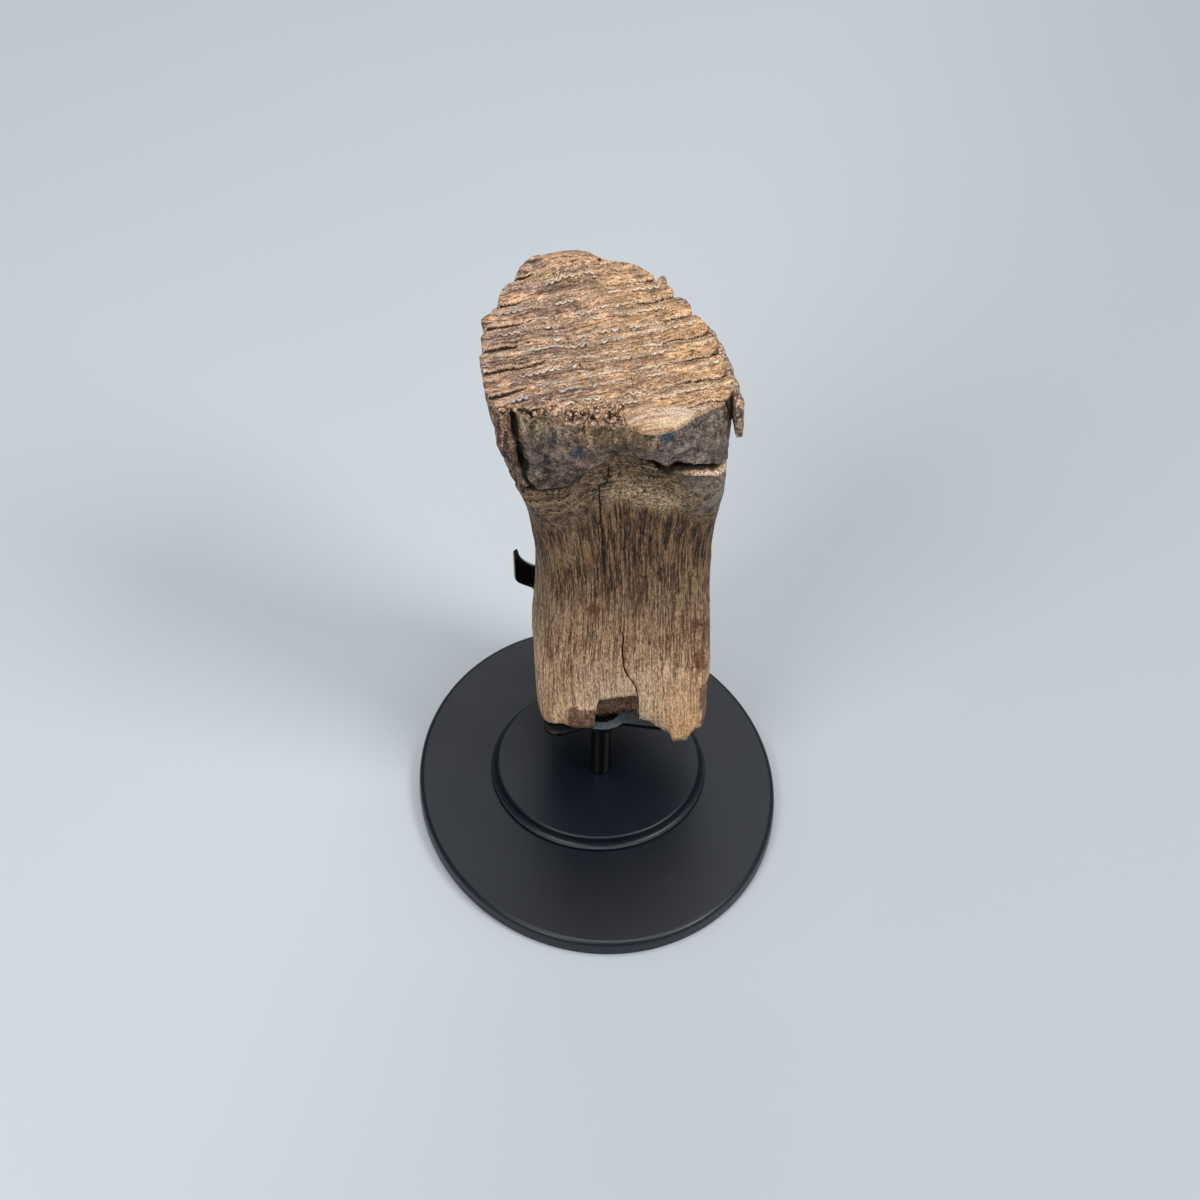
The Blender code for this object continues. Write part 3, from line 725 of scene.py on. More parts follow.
def bottomHeight(x, y):
    base = tooth["bottom"]
    rough = 1.6 * max(0.0, lumps(x, y, 0.0, 11.0, 5.0) + 0.25)
    rough += 0.5 * max(0.0, lumps(x, y, 0.0, 3.1, 21.0)) + 0.25 * max(0.0, lumps(x, y, 0.0, 1.4, 22.0))
    inward = smoothStep(0.0, 9.0, y + 10.0)
    left = 4.0 * smoothStep(-9.0, -16.0, x)
    notch = (14.7 + 0.13 * x) * smoothStep(-3.2, -1.6, x) * smoothStep(13.0, 11.5, x)
    right = 5.0 * smoothStep(11.5, 13.0, x) * smoothStep(23.0, 13.0, x)
    corner = 6.0 * smoothStep(34.0, 38.0, x)
    edge = left + right + corner
    ragged = 0.8 * lumps(x, y, 0.0, 3.0, 23.0) + 0.5 * lumps(x, y, 0.0, 1.4, 24.0)
    edge += ragged * smoothStep(0.4, 2.0, edge)
    edge = max(0.0, edge) * (1.0 - inward)
    edge = max(edge, (notch + ragged * smoothStep(0.4, 2.0, notch)) * smoothStep(-2.4, -4.4, y + 0.5 * ragged))
    tip = 5.2 * smoothStep(22.4, 24.6, x) * smoothStep(31.5, 28.8, x) * smoothStep(-12.0, -13.2, y)
    return base + rough * inward + edge - tip


def planPoint(across, share, z):
    left, right, back = follow(leftSide, z), follow(rightSide, z), follow(backSide, z)
    crown = smoothStep(140.0, 175.0, z)
    front = -3.5 - 2.5 * (1.0 - crown)
    yRow = front + (back - front) * share
    wide = tooth["widestY"]
    deep = tooth["backShare"] * max(0.0, (yRow - wide) / (back - wide))
    spine = -1.0 + 8.0 * (1.0 - crown)
    leftX = spine + (left - spine) * (1.0 - deep ** (2.0 + 0.6 * crown)) ** 0.75
    rightX = spine + (right - spine) * (1.0 - deep ** (2.2 + 0.4 * crown)) ** 0.75
    corner = 9.0 - 1.5 * crown
    near = max(0.0, 1.0 - (yRow - front) / corner)
    inset = corner * (1.0 - math.sqrt(1.0 - near * near)) * (0.62 + 0.1 * crown)
    leftX += inset
    rightX -= inset
    x = leftX + (rightX - leftX) * 0.5 * (across + 1.0)
    y = yRow + (frontLine(x, z) - front) * (1.0 - share) ** 3
    y += (1.4 - 3.6 * (across + 0.15) ** 2 - 3.0 * crown * bump(x, 12.0, 5.5)) * smoothStep(0.8, 1.0, share)
    return x, y


def gridValues(i, j):
    return 2.0 * i / tooth["across"] - 1.0, j / tooth["along"]


def rimPlaces(across, along):
    # places around the edge of a grid, once round
    front = [(i, 0) for i in range(across)]
    right = [(across, j) for j in range(along)]
    back = [(i, along) for i in range(across, 0, -1)]
    left = [(0, j) for j in range(along, 0, -1)]
    return front + right + back + left


def fissureNear(x, z, front):
    # distance in millimetres to the nearest crack on the front, and how deep it cuts
    nearest, depth = 9.0, 0.0
    if front < 0.2:
        return nearest, depth
    for stations, cut in frontCracks[2:]:
        low, high = stations[0][0], stations[-1][0]
        if low <= z <= high:
            path = straight(stations, z) + 0.35 * lumps(0.0, 0.0, z, 2.2, 31.0) + 0.22 * lumps(x, 0.0, z, 0.9, 30.0)
            fade = smoothStep(low - 0.01, low + 4.0, z) * smoothStep(high + 0.01, high - 3.0, z)
            fade = max(fade, 1.0 if low < 47.0 and z < 60.0 else 0.0)
            gapWide = abs(x - path) + 0.5 * (1.0 - fade)
            nearest = min(nearest, gapWide)
            depth = max(depth, cut * fade * bump(x, path, 0.45))
    for stations, cut in collarSplits:
        if stations[0][0] <= x <= stations[-1][0]:
            path = straight(stations, x) + 0.5 * lumps(x, 0.0, 0.0, 1.9, 28.0)
            nearest = min(nearest, abs(z - path) + 0.12)
            depth = max(depth, cut * bump(z, path, 0.5))
    return nearest, depth


def longSplit(x, z):
    # the lower and the upper crack joined in one line: distance from it, and how open it is
    lower, upper = frontCracks[1][0], frontCracks[0][0]
    path = straight(lower + upper, z) + 0.3 * lumps(0.0, 0.0, z, 2.2, 31.0) + 0.2 * lumps(x, 0.0, z, 0.9, 30.0)
    openness = smoothStep(93.0, 84.0, z) + 0.75 * smoothStep(116.0, 126.0, z) * smoothStep(169.0, 165.0, z)
    return x - path, openness


def layerCount(x, z):
    # growth layers under the crack follow a low arch, at uneven steps
    arch = 173.0 - 0.026 * min(22.0, abs(x - 7.0)) ** 2
    down = arch - z + 1.3 * lumps(x, 0.0, z, 11.0, 35.0)
    return down / 2.2 + 0.9 * lumps(0.0, 0.0, down, 4.6, 50.0)


def sideShape(x, y, z, facing, grain):
    # how far the side stands out of the smooth body, with the values the finish needs
    crown = smoothStep(138.0, 168.0, z)
    flank = abs(facing.x)
    front = max(0.0, -facing.y) ** 2
    count, _, groove = plateParts(x, y)
    out = 0.7 * lumps(x, y, z * 0.45, 13.0, 4.0)
    grooveWave = max(0.0, math.cos(2.0 * math.pi * count)) ** 1.5
    sideCrown = max(flank, max(0.0, facing.y)) * crown
    out += flank * crown * (0.3 - 0.8 * grooveWave)
    out += smoothStep(0.0, -10.0, x) * flank * crown * (1.9 * bump(y, 43.5, 3.5) - 1.6 * bump(y, 51.5, 3.5))
    out += smoothStep(0.0, 10.0, x) * flank * crown * (3.0 * bump(y, 57.0, 2.5) - 1.6 * bump(y, 37.0, 3.0))
    out += (sideCrown * (-1.1 * bump(groove, 0.0, 0.7) + 0.5 * lumps(x, y, z * 0.5, 2.6, 32.0)
                         + 0.4 * lumps(x, y, z, 5.0, 33.0)))
    crack = straight(crackLine, x) + 0.5 * lumps(x, 0.0, 0.0, 2.4, 34.0)
    below = crack - z
    openRight = smoothStep(9.0, 17.0, x)
    openLeft = smoothStep(-12.0, -16.0, x)
    crackDeep = front * (0.55 + 4.4 * openRight + 2.6 * openLeft)
    wide = (0.42 + 0.78 * openRight * (0.62 + 1.0 * bump(x, 20.5, 4.5))
            + 0.35 * openRight * lumps(x, 0.0, 0.0, 1.6, 52.0))
    out -= crackDeep * bump(below, 0.0, wide)
    out += front * openRight * (1.5 * bump(below, 2.0, 1.2) + 0.7 * bump(below, -2.6, 2.0))
    # growth layers under the crack
    layer = layerCount(x, z)
    arcs = bump(x, 6.0, 21.0) * smoothStep(0.2, 1.2, below) * smoothStep(6.6, 5.2, layer) * front
    stepped = 1.0 - (layer - math.floor(layer))
    out += arcs * (0.5 + 0.85 * stepped ** 1.5 * smoothStep(-0.35, 0.15, lumps(x, y, z, 8.0, 36.0)))
    # fine ribs down the root
    root = smoothStep(150.0, 138.0, z)
    ribs = 0.24 * lumps(grain.x, grain.y, z / 9.0, 1.9, 37.0) + 0.16 * lumps(grain.x, grain.y, z / 6.0, 1.15, 38.0)
    out += ribs * (0.25 + 0.75 * root)
    # front left corner: the gap behind the front shell, and the crumbled strip beside it
    gapX = straight(cornerGap, z)
    away = (abs(x - gapX) + (9.0 if y > 14.0 else 0.0) + 0.7 * lumps(x, y, z, 2.8, 39.0)
            + 0.4 * lumps(x, y, z, 1.2, 53.0))
    inGap = smoothStep(154.5, 158.0, z)
    hole = bump(z, 166.0, 3.6)
    out -= inGap * (2.6 + 2.2 * hole) * bump(away, 0.0, 0.9 + 0.7 * hole)
    strip = smoothStep(-25.0, -29.0, x) * smoothStep(16.0, 4.0, y) * smoothStep(148.0, 156.0, z)
    out += strip * (1.1 * lumps(x, y, z * 0.16, 2.4, 40.0) + 0.45 * lumps(x, y, z * 0.3, 1.3, 41.0) - 0.4)
    chip = bump(x, -30.0, 5.0) * smoothStep(150.0, 158.0, z) * smoothStep(8.0, -1.0, y)
    out -= chip * (1.2 + 1.2 * lumps(x, y, z, 7.0, 6.0))
    # rim of the front left, broken into crumbs
    rim = smoothStep(14.0, -2.0, x) * smoothStep(181.5, 187.0, z + 1.6 * lumps(x, 0.0, 0.0, 4.0, 42.0)) * front
    broken = 1.6 * lumps(x, y, z, 3.6, 43.0) + 0.9 * lumps(x, y, z, 1.8, 44.0)
    out += rim * (broken - 0.9)
    # cracks that run down the front
    fissure, cutDepth = fissureNear(x, z, front)
    out -= cutDepth
    # outer layer lost at the right of the foot, and a loose flake at its left
    ragged = 1.5 * lumps(x, y, z, 4.0, 45.0) + 0.7 * lumps(x, y, z, 1.8, 47.0)
    flake = smoothStep(33.6, 34.4, x + 0.05 * (z - 55.0) + 0.5 * ragged) * smoothStep(62.0, 60.5, z + ragged)
    out -= 0.9 * flake * max(front, flank * smoothStep(4.0, -6.0, y))
    loose = smoothStep(-12.2, -11.4, x + 0.4 * ragged) * smoothStep(-1.2, -2.2, x + 0.4 * ragged)
    loose *= smoothStep(53.2, 52.2, z + 0.12 * x + ragged) * front
    out += loose * (1.1 + 0.9 * lumps(x, y, z, 4.5, 48.0) + 0.5 * lumps(x, y, z, 1.6, 49.0))
    flake = max(flake, loose)
    out += 0.10 * lumps(x, y, z, 1.3, 46.0)
    crumb = max(rim, 0.54 * strip)
    hollow = min(1.0, front * crackDeep / 2.2 * bump(below, 0.0, wide)
                 + inGap * bump(away, 0.0, 0.9 + 0.8 * hole) + 0.8 * sideCrown * bump(groove, 0.0, 0.8)
                 + rim * smoothStep(-0.35, -0.9, broken))
    long, openness = longSplit(x, z)
    out -= 1.0 * openness * front * bump(long, 0.0, 0.5)
    return out, below, layer, fissure, crumb, hollow, flake, long, openness * smoothStep(9.0, 3.0, y)


def makeTooth(material):
    bottom, top = tooth["bottom"], tooth["top"]
    rim = rimPlaces(tooth["across"], tooth["along"])
    count = len(rim)
    rootLevels, crownLevels, start = tooth["rootLevels"], tooth["crownLevels"], tooth["crownStart"]
    levels = [start * (i / rootLevels) ** 0.93 for i in range(rootLevels)]
    levels += [start + (1.0 - start) * i / crownLevels for i in range(crownLevels + 1)]
    names = ("plateCount", "chew", "fissure", "below", "layer", "crumb", "hollow", "flake", "long", "openness")
    data = {name: [] for name in names}
    grains = []
    points = []
    grainRing = [planPoint(*gridValues(i, j), 80.0) for i, j in rim]

    def keep(x, y, z, values, grain):
        points.append((x * mm, y * mm, z * mm))
        grains.append(grain)
        for name, value in zip(names, values):
            data[name].append(value)

    crackHome = bottom + (top - bottom) * tooth["crackShare"]
    for level in levels:
        centre = bottom + (top - bottom) * level
        flat = [planPoint(*gridValues(i, j), centre) for i, j in rim]
        nearCrack = bump(level, tooth["crackShare"], 0.09) * (1.0 - level ** 40)
        for k, (x, y) in enumerate(flat):
            before, after = flat[k - 1], flat[(k + 1) % count]
            facing = Vector((after[1] - before[1], before[0] - after[0], 0.0)).normalized()
            across = gridValues(*rim[k])[0]
            z = centre + (bottomHeight(x, y) - bottom) * (1.0 - level) ** 4
            z += (topHeight(x, y, across) - top) * level ** 12
            z += (straight(crackLine, x) - crackHome) * nearCrack * max(0.0, -facing.y)
            grain = Vector((grainRing[k][0], grainRing[k][1], z))
            out, *values = sideShape(x, y, z, facing, grain)
            out *= 1.0 - (1.0 - level) ** 30
            keep(x + facing.x * out, y + facing.y * out, z,
                 (plateCount(x, y), smoothStep(0.985, 1.0, level), values[2], values[0], values[1], *values[3:]),
                 grain)
    rows = [list(range(n * count, (n + 1) * count)) for n in range(len(levels))]
    faces = []
    for lower, upper in zip(rows, rows[1:]):
        for k in range(count):
            after = (k + 1) % count
            faces.append((lower[k], lower[after], upper[after], upper[k]))
    wornGrid = {}
    for ring, atTop in ((rows[0], False), (rows[-1], True)):
        grid = dict(zip(rim, ring))
        height = top if atTop else bottom
        for i in range(1, tooth["across"]):
            for j in range(1, tooth["along"]):
                across, share = gridValues(i, j)
                x, y = planPoint(across, share, height)
                if atTop:
                    z = topHeight(x, y, across)
                    number = plateCount(x, y)
                    crumbly = crumbled(x, y)
                    opened = grooveOpen(x, y, abs(across))
                    opened *= 0.62 + 0.38 * smoothStep(8.0, -14.0, x) + 0.5 * lumps(x, y, 0.0, 1.9, 20.0)
                    level = wornTop(x, y, across)
                    hollow = (opened * (1.0 - smoothStep(*tooth["platesEnd"], y))
                              + crumbly * smoothStep(level - 0.8, level - 1.9, z))
                    values = (number, 1.0, 9.0, -20.0, 0.0, crumbly, hollow, 0.0, 9.0, 0.0)
                    wornGrid[(i, j)] = (x, y, z, number)
                else:
                    z = bottomHeight(x, y)
                    values = (plateCount(x, y), 0.0, 9.0, 110.0, 40.0, 0.0, 0.0, 1.0, 9.0, 0.0)
                keep(x, y, z, values, Vector((x, y, z)))
                grid[(i, j)] = len(points) - 1
        for i in range(tooth["across"]):
            for j in range(tooth["along"]):
                face = (grid[(i, j)], grid[(i + 1, j)], grid[(i + 1, j + 1)], grid[(i, j + 1)])
                faces.append(face if atTop else tuple(reversed(face)))
    mesh = bpy.data.meshes.new("fossilTooth")
    mesh.from_pydata(points, [], faces)
    for name in names:
        layer = mesh.attributes.new(name, "FLOAT", "POINT")
        layer.data.foreach_set("value", data[name])
    layer = mesh.attributes.new("grain", "FLOAT_VECTOR", "POINT")
    layer.data.foreach_set("vector", [c for g in grains for c in g])
    mesh.materials.append(material)
    mesh.shade_smooth()
    mesh.validate()
    item = bpy.data.objects.new("fossilTooth", mesh)
    bpy.context.scene.collection.objects.link(item)
    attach(item, "root")
    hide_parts("tooth")
    print("tooth:", len(mesh.polygons), "faces")
    crumbly = [face for face in faces if min(data["crumb"][corner] for corner in face) > 0.55]
    return wornGrid, points, crumbly


enamel = {"Spacing": 0.00030, "Crimp": 0.0017, "CrimpLength": 0.0024, "Thickness": 0.00042, "PieceLength": 0.0085}
# smooth enamel arcs around the lens: radii in millimetres, angles in degrees
lensArcs = {"radii": (17.4, 18.8), "squash": 0.8, "start": 40.0, "turn": 2.5, "steps": 41, "behind": -9.0}
crumbs = {"Density": 700000.0, "Smallest": 0.00030, "Largest": 0.0015}


def enamelGuides(wornGrid):
    # lines over the worn surface where the plates' enamel walls come up
    points, edges = [], []
    for number in range(-1, 8):
        for phase in (0.0, tooth["enamelAt"]):
            target = number + phase
            last = None
            for i in range(3, tooth["across"] - 2):
                here = None
                for j in range(1, tooth["along"] - 2):
                    low, high = wornGrid[(i, j)], wornGrid[(i, j + 1)]
                    if low[3] < target <= high[3]:
                        share = (target - low[3]) / (high[3] - low[3])
                        x, y, z = (low[n] + (high[n] - low[n]) * share for n in range(3))
                        cracked = phase == 0.0 and grooveOpen(x, y, abs(acrossAt(x))) > 0.25
                        if not cracked and y < 63.0 and crumbled(x, y) < 0.4:
                            here = len(points)
                            points.append((x * mm, y * mm, (z + 0.05) * mm))
                        break
                if here is not None and last is not None:
                    edges.append((last, here))
                last = here
    # arcs around the low lens at the front
    p = lensArcs
    lensX, lensY = tooth["lens"]
    for reach in p["radii"]:
        last = None
        for step in range(p["steps"]):
            angle = math.radians(p["start"] + p["turn"] * step)
            x, y = lensX + reach * math.cos(angle), lensY + p["squash"] * reach * math.sin(angle)
            z = topHeight(x, y, acrossAt(x))
            if y > p["behind"]:
                points.append((x * mm, y * mm, (z + 0.05) * mm))
                if last is not None:
                    edges.append((last, len(points) - 1))
                last = len(points) - 1
            else:
                last = None
    mesh = bpy.data.meshes.new("enamelGuides")
    mesh.from_pydata(points, edges, [])
    return mesh


def makeEnamel(wornGrid, material):
    tree, start, end = nodeGroup("enamelWalls", enamel)
    place = addNode("GeometryNodeInputPosition").outputs[0]
    scale = calc("DIVIDE", 1.0, start.outputs["PieceLength"])
    pieces = speckle(place, scale, 2.0, 0.6)
    kept = addNode("GeometryNodeDeleteGeometry", {0: start.outputs["Geometry"], 1: calc("LESS_THAN", pieces, 0.51)},
                   domain="EDGE").outputs[0]
    curve = addNode("GeometryNodeMeshToCurve", {0: kept}).outputs[0]
    curve = addNode("GeometryNodeResampleCurve", {0: curve, "Length": start.outputs["Spacing"]},
                    mode="LENGTH").outputs[0]
    # scalloped crimp, with some wander
    placeX, placeY = axes(place)[:2]
    wander = speckle(place, 260.0, 2.0, 0.5)
    phase = calc("DIVIDE", placeX, start.outputs["CrimpLength"])
    phase = linear(wander, 3.2, times(phase, math.pi))
    scallop = calc("ABSOLUTE", calc("SINE", phase))
    deep = speckle(place, 90.0, 1.0, 0.5)
    plain = remap(placeY, -0.004, 0.001)  # the lens arcs at the front stay smooth
    push = times(scallop, start.outputs["Crimp"], remap(deep, 0.38, 0.6, 0.15, 1.0), plain)
    offset = addNode("ShaderNodeCombineXYZ", {1: times(push, -1.0), 2: times(push, 0.15)}).outputs[0]
    curve = addNode("GeometryNodeSetPosition", {0: curve, "Offset": offset}).outputs[0]
    uneven = speckle(place, 420.0, 2.0, 0.5)
    bead = linear(scallop, 0.3, 0.75)
    wide = times(start.outputs["Thickness"], remap(uneven, 0.3, 0.7, 0.45, 1.35), bead, linear(plain, 0.5, 0.5))
    ring = addNode("GeometryNodeCurvePrimitiveCircle", {"Resolution": 5, "Radius": 1.0}).outputs[0]
    wall = addNode("GeometryNodeCurveToMesh", {"Curve": curve, "Profile Curve": ring, "Scale": wide,
                                               "Fill Caps": True}).outputs[0]
    deliver(wall, material, end)
    grow("enamelWalls", enamelGuides(wornGrid), tree, enamel)


def makeCrumbs(points, faces, material):
    used = sorted({corner for face in faces for corner in face})
    index = {corner: n for n, corner in enumerate(used)}
    mesh = bpy.data.meshes.new("crumblyPatch")
    mesh.from_pydata([points[corner] for corner in used], [],
                     [tuple(index[corner] for corner in face) for face in faces])
    tree, start, end = nodeGroup("looseCrumbs", crumbs)
    spread = addNode("GeometryNodeDistributePointsOnFaces",
                     {"Mesh": start.outputs["Geometry"], "Density": start.outputs["Density"], "Seed": 11})
    stone = addNode("GeometryNodeMeshIcoSphere", {"Radius": 1.0, "Subdivisions": 1}).outputs[0]
    dent = addNode("ShaderNodeTexNoise", {"Vector": addNode("GeometryNodeInputPosition").outputs[0],
                                          "Scale": 1.3}).outputs[1]
    dent = vectorCalc("SUBTRACT", dent, (0.5, 0.5, 0.5))
    stone = addNode("GeometryNodeSetPosition", {0: stone, "Offset": dent}).outputs[0]
    turn = addNode("FunctionNodeRandomValue", {0: (0.0, 0.0, 0.0), 1: (6.28, 6.28, 6.28), 8: 3},
                   data_type="FLOAT_VECTOR").outputs[0]
    size = addNode("FunctionNodeRandomValue", {2: start.outputs["Smallest"], 3: start.outputs["Largest"], 8: 5},
                   data_type="FLOAT").outputs[1]
    flat = addNode("FunctionNodeRandomValue", {0: (0.6, 0.6, 0.45), 1: (1.5, 1.1, 0.9), 8: 7},
                   data_type="FLOAT_VECTOR").outputs[0]
    scale = scaled(flat, size)
    laid = addNode("GeometryNodeInstanceOnPoints",
                   {"Points": spread.outputs["Points"], "Instance": stone, "Rotation": turn,
                    "Scale": scale}).outputs[0]
    deliver(laid, material, end)
    grow("rimCrumbs", mesh, tree, crumbs)


slab = {"front": -7.6, "back": 34.0, "thick": 2.9, "along": 84, "down": 34}


def makeSlab(material):
    # outer layer that hangs loose along the crown's right side
    p = slab
    zTop = tooth["top"]
    back, front = follow(backSide, zTop), -3.5
    bm = bmesh.new()
    sheets = []
    for outer in (False, True):
        grid = []
        for i in range(p["along"] + 1):
            run = i / p["along"]
            y = p["front"] + (p["back"] - p["front"]) * run
            low = (174.2 + 4.5 * smoothStep(0.05, 0.35, run) + 4.0 * smoothStep(0.5, 1.0, run)
                   + 1.2 * lumps(0.0, y, 0.0, 4.0, 61.0))
            high = (187.6 + 0.7 * lumps(0.0, y, 0.0, 3.0, 62.0) - 2.2 * smoothStep(0.12, 0.0, run)
                    - 1.5 * smoothStep(0.85, 1.0, run))
            row = []
            for j in range(p["down"] + 1):
                z = low + (high - low) * j / p["down"]
                share = max(0.0, (y - front) / (back - front))
                x = (planPoint(1.0, share, z)[0] if y > 4.0
                     else planPoint(1.0, (4.0 - front) / (back - front), z)[0] - 0.03 * (4.0 - y))
                edge = min(1.0, 9.0 * min(run, 1.0 - run) + 0.45, 6.0 * min(j, p["down"] - j) / p["down"] + 0.5)
                gapHere = 0.2 + 1.1 * smoothStep(0.45, 0.1, run) * (1.0 - 0.6 * j / p["down"])
                thick = p["thick"] * (edge ** 0.5) * (1.0 - 0.35 * run)
                x += gapHere + (thick if outer else 0.0) - 0.6
                x += ((0.35 if outer else 0.2) * lumps(0.0, y, z, 3.2, 63.0)
                      + 0.2 * lumps(0.0 if outer else 5.0, y, z, 1.4, 64.0))
                slip = 0.3 * lumps(x, y, z, 1.5, 65.0)
                row.append(bm.verts.new((x * mm, (y + slip) * mm, (z + slip) * mm)))
            grid.append(row)
        sheets.append(grid)
    inner, outerGrid = sheets
    for i in range(p["along"]):
        for j in range(p["down"]):
            bm.faces.new((inner[i][j], inner[i][j + 1], inner[i + 1][j + 1], inner[i + 1][j]))
            bm.faces.new((outerGrid[i][j], outerGrid[i + 1][j], outerGrid[i + 1][j + 1], outerGrid[i][j + 1]))
    border = rimPlaces(p["along"], p["down"])
    for k, (i, j) in enumerate(border):
        m, n = border[(k + 1) % len(border)]
        bm.faces.new((inner[i][j], inner[m][n], outerGrid[m][n], outerGrid[i][j]))
    item = addPiece("sideSlab", bm, material, 70.0)
    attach(item, "root")
    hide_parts("tooth")


# crackDark: near-black of cracks and dark lines, also used as painted shade in hollows and open grooves
finish = {"tan": (1.0, 0.590, 0.350), "ochre": (1.0, 0.60, 0.29), "umber": (0.27, 0.140, 0.080),
          "enamel": (0.82, 0.73, 0.62), "blueGrey": (0.40, 0.43, 0.45), "crackDark": (0.024, 0.016, 0.011),
          "blueSpots": ((17.8, 182.8, 3.2, 0.9), (-10.4, 173.8, 2.7, 0.8), (-18.3, 178.3, 1.6, 0.45)),
          "rustSpots": ((-4.6, 102.4, 2.2), (31.0, 91.8, 2.5), (34.4, 89.5, 2.4), (34.6, 108.6, 2.3),
                        (33.0, 75.5, 3.0), (34.0, 71.0, 2.8))}


def wornColour(place, x, y, noises):
    # chewing surface: bands along the plates
    f = finish
    blotch, pepper, fine = noises["blotch"], noises["pepper"], noises["fine"]
    plateAt = attribute("plateCount")
    crimp = linear(speckle(place, 0.55, 4.0, 0.65), 0.24, -0.12)
    count = plus(plateAt, crimp)
    share = calc("FRACT", count)
    # streaks follow the plates
    along = addNode("ShaderNodeCombineXYZ", {0: x, 1: times(plateAt, tooth["pitch"])}).outputs[0]
    streaks = speckle(stretched(along, (0.12, 1.2, 1.0)), 0.8, 5.0, 0.65)
    fray = speckle(stretched(along, (0.36, 1.2, 1.0)), 1.1, 3.0, 0.65)
    grit = speckle(place, 1.7, 2.0, 0.6)
    dentine = times(remap(share, 0.03, 0.12, smooth=True), fade(share, 0.44, 0.54, smooth=True))
    leftness = remap(linear(x, 0.010, blotch), 0.20, 0.75, 1.0, 0.25)
    warm = twoTone(streaks, 0.38, 0.54, f["umber"], f["tan"])
    warm = blend(times(remap(linear(x, 0.012, blotch), 0.42, 0.85), 0.8), warm, f["ochre"])
    purple = twoTone(streaks, 0.40, 0.60, (0.105, 0.066, 0.060), (0.46, 0.315, 0.270))
    top = blend(times(dentine, leftness, remap(noises["cloud"], 0.42, 0.52, 0.2, 1.0)), warm, purple)
    cement = times(remap(share, 0.58, 0.68), fade(share, 0.88, 0.97))
    grainy = twoTone(grit, 0.42, 0.58, (0.27, 0.138, 0.074), (1.0, 0.69, 0.45))
    top = blend(times(cement, 0.75), top, grainy)
    top = blend(remap(fray, 0.53, 0.63, 0.0, 0.85), top, (0.140, 0.076, 0.046))
    top = blend(remap(fray, 0.46, 0.36, 0.0, 0.8), top, (1.0, 0.70, 0.47))
    stains = remap(speckle(stretched(along, (0.5, 1.0, 1.0)), 0.22, 3.0, 0.6), 0.52, 0.64, 0.0, 0.55)
    top = blend(stains, top, (0.20, 0.125, 0.095))
    splits = times(veins(stretched(along, (0.10, 1.0, 1.0)), 0.42, 0.016), remap(blotch, 0.42, 0.56))
    top = blend(times(splits, 0.85), top, f["crackDark"])
    # short cracks across the plates
    across = times(veins(stretched(along, (1.0, 0.25, 1.0)), 0.30, 0.010, 2.0), remap(noises["cloud"], 0.50, 0.60))
    top = blend(times(across, 0.8), top, f["crackDark"])
    toEnamel = calc("PINGPONG", minus(count, tooth["enamelAt"]), 0.5)
    toGroove = calc("PINGPONG", count, 0.5)
    nearWall = calc("MAXIMUM", fade(toEnamel, 0.03, 0.09), fade(toGroove, 0.02, 0.07))
    broken = remap(speckle(place, 0.2, 4.0, 0.65), 0.46, 0.58)
    plates = fade(y, 61.0, 66.0)
    tone = blend(remap(linear(x, 0.006, blotch), 0.45, 0.62), f["blueGrey"], f["enamel"])
    top = blend(times(nearWall, broken, plates, 0.5), top, tone)
    coarse = linear(cement, 0.6, 0.4)
    top = blend(times(remap(pepper, 0.59, 0.67, 0.0, 0.85), coarse), top, (0.085, 0.046, 0.028))
    top = blend(times(remap(fine, 0.59, 0.69, 0.0, 0.8), coarse), top, (1.0, 0.82, 0.63))
    # painted shade where a groove stands open, with a pale broken edge
    hollow = attribute("hollow")
    toCrack = plus(calc("PINGPONG", plateAt, 0.5), linear(grit, 0.09, -0.045))
    toCrack = minus(toCrack, times(hollow, 0.085))
    opened = remap(hollow, 0.02, 0.12)
    top = blend(times(remap(toCrack, 0.075, 0.04, 0.0, 0.6), opened), top, (0.98, 0.68, 0.46))
    top = blend(times(remap(toCrack, 0.032, 0.008), opened, 0.97), top, f["crackDark"])
    # painted shadow: a brown line along the low side of each enamel wall, where the wall's shadow falls
    toWallShadow = apart(share, 0.43)
    wallShadow = times(fade(toWallShadow, 0.02, 0.05), remap(grit, 0.44, 0.54), broken, plates)
    top = blend(times(wallShadow, 0.75), top, (0.145, 0.078, 0.042))
    reach = addNode("ShaderNodeVectorMath", {0: stretched(place, (0.72, 1.25, 0.0)), 1: (10.4, -25.0, 0.0)},
                    operation="DISTANCE")
    reach = plus(reach.outputs["Value"], crimp)
    arcs = speckle(addNode("ShaderNodeCombineXYZ", {0: reach, 1: times(x, 0.10)}).outputs[0], 0.75, 4.0, 0.6)
    pale = twoTone(arcs, 0.40, 0.56, (0.37, 0.210, 0.115), (0.80, 0.565, 0.370))
    pale = blend(times(remap(reach, 13.5, 15.5), remap(arcs, 0.46, 0.56), 0.6), pale, (0.64, 0.58, 0.52))
    broad = speckle(stretched(along, (0.35, 1.0, 1.0)), 0.30, 3.0, 0.6)
    strength = remap(broad, 0.30, 0.70, 0.54, 1.38)
    top = scaled(top, strength)
    lens = times(remap(reach, 21.5, 19.5), remap(linear(blotch, 3.0, y), 0.0, -2.5), 0.85)
    top = blend(lens, top, pale)
    fringe = times(lens, veins(place, 0.16, 0.007, 3.0, 0.3), 0.8)
    top = blend(fringe, top, (0.16, 0.085, 0.045))
    height = plus(streaks, linear(fray, -0.9, times(grit, -0.35)))
    return top, times(height, linear(lens, -0.7, 1.0))


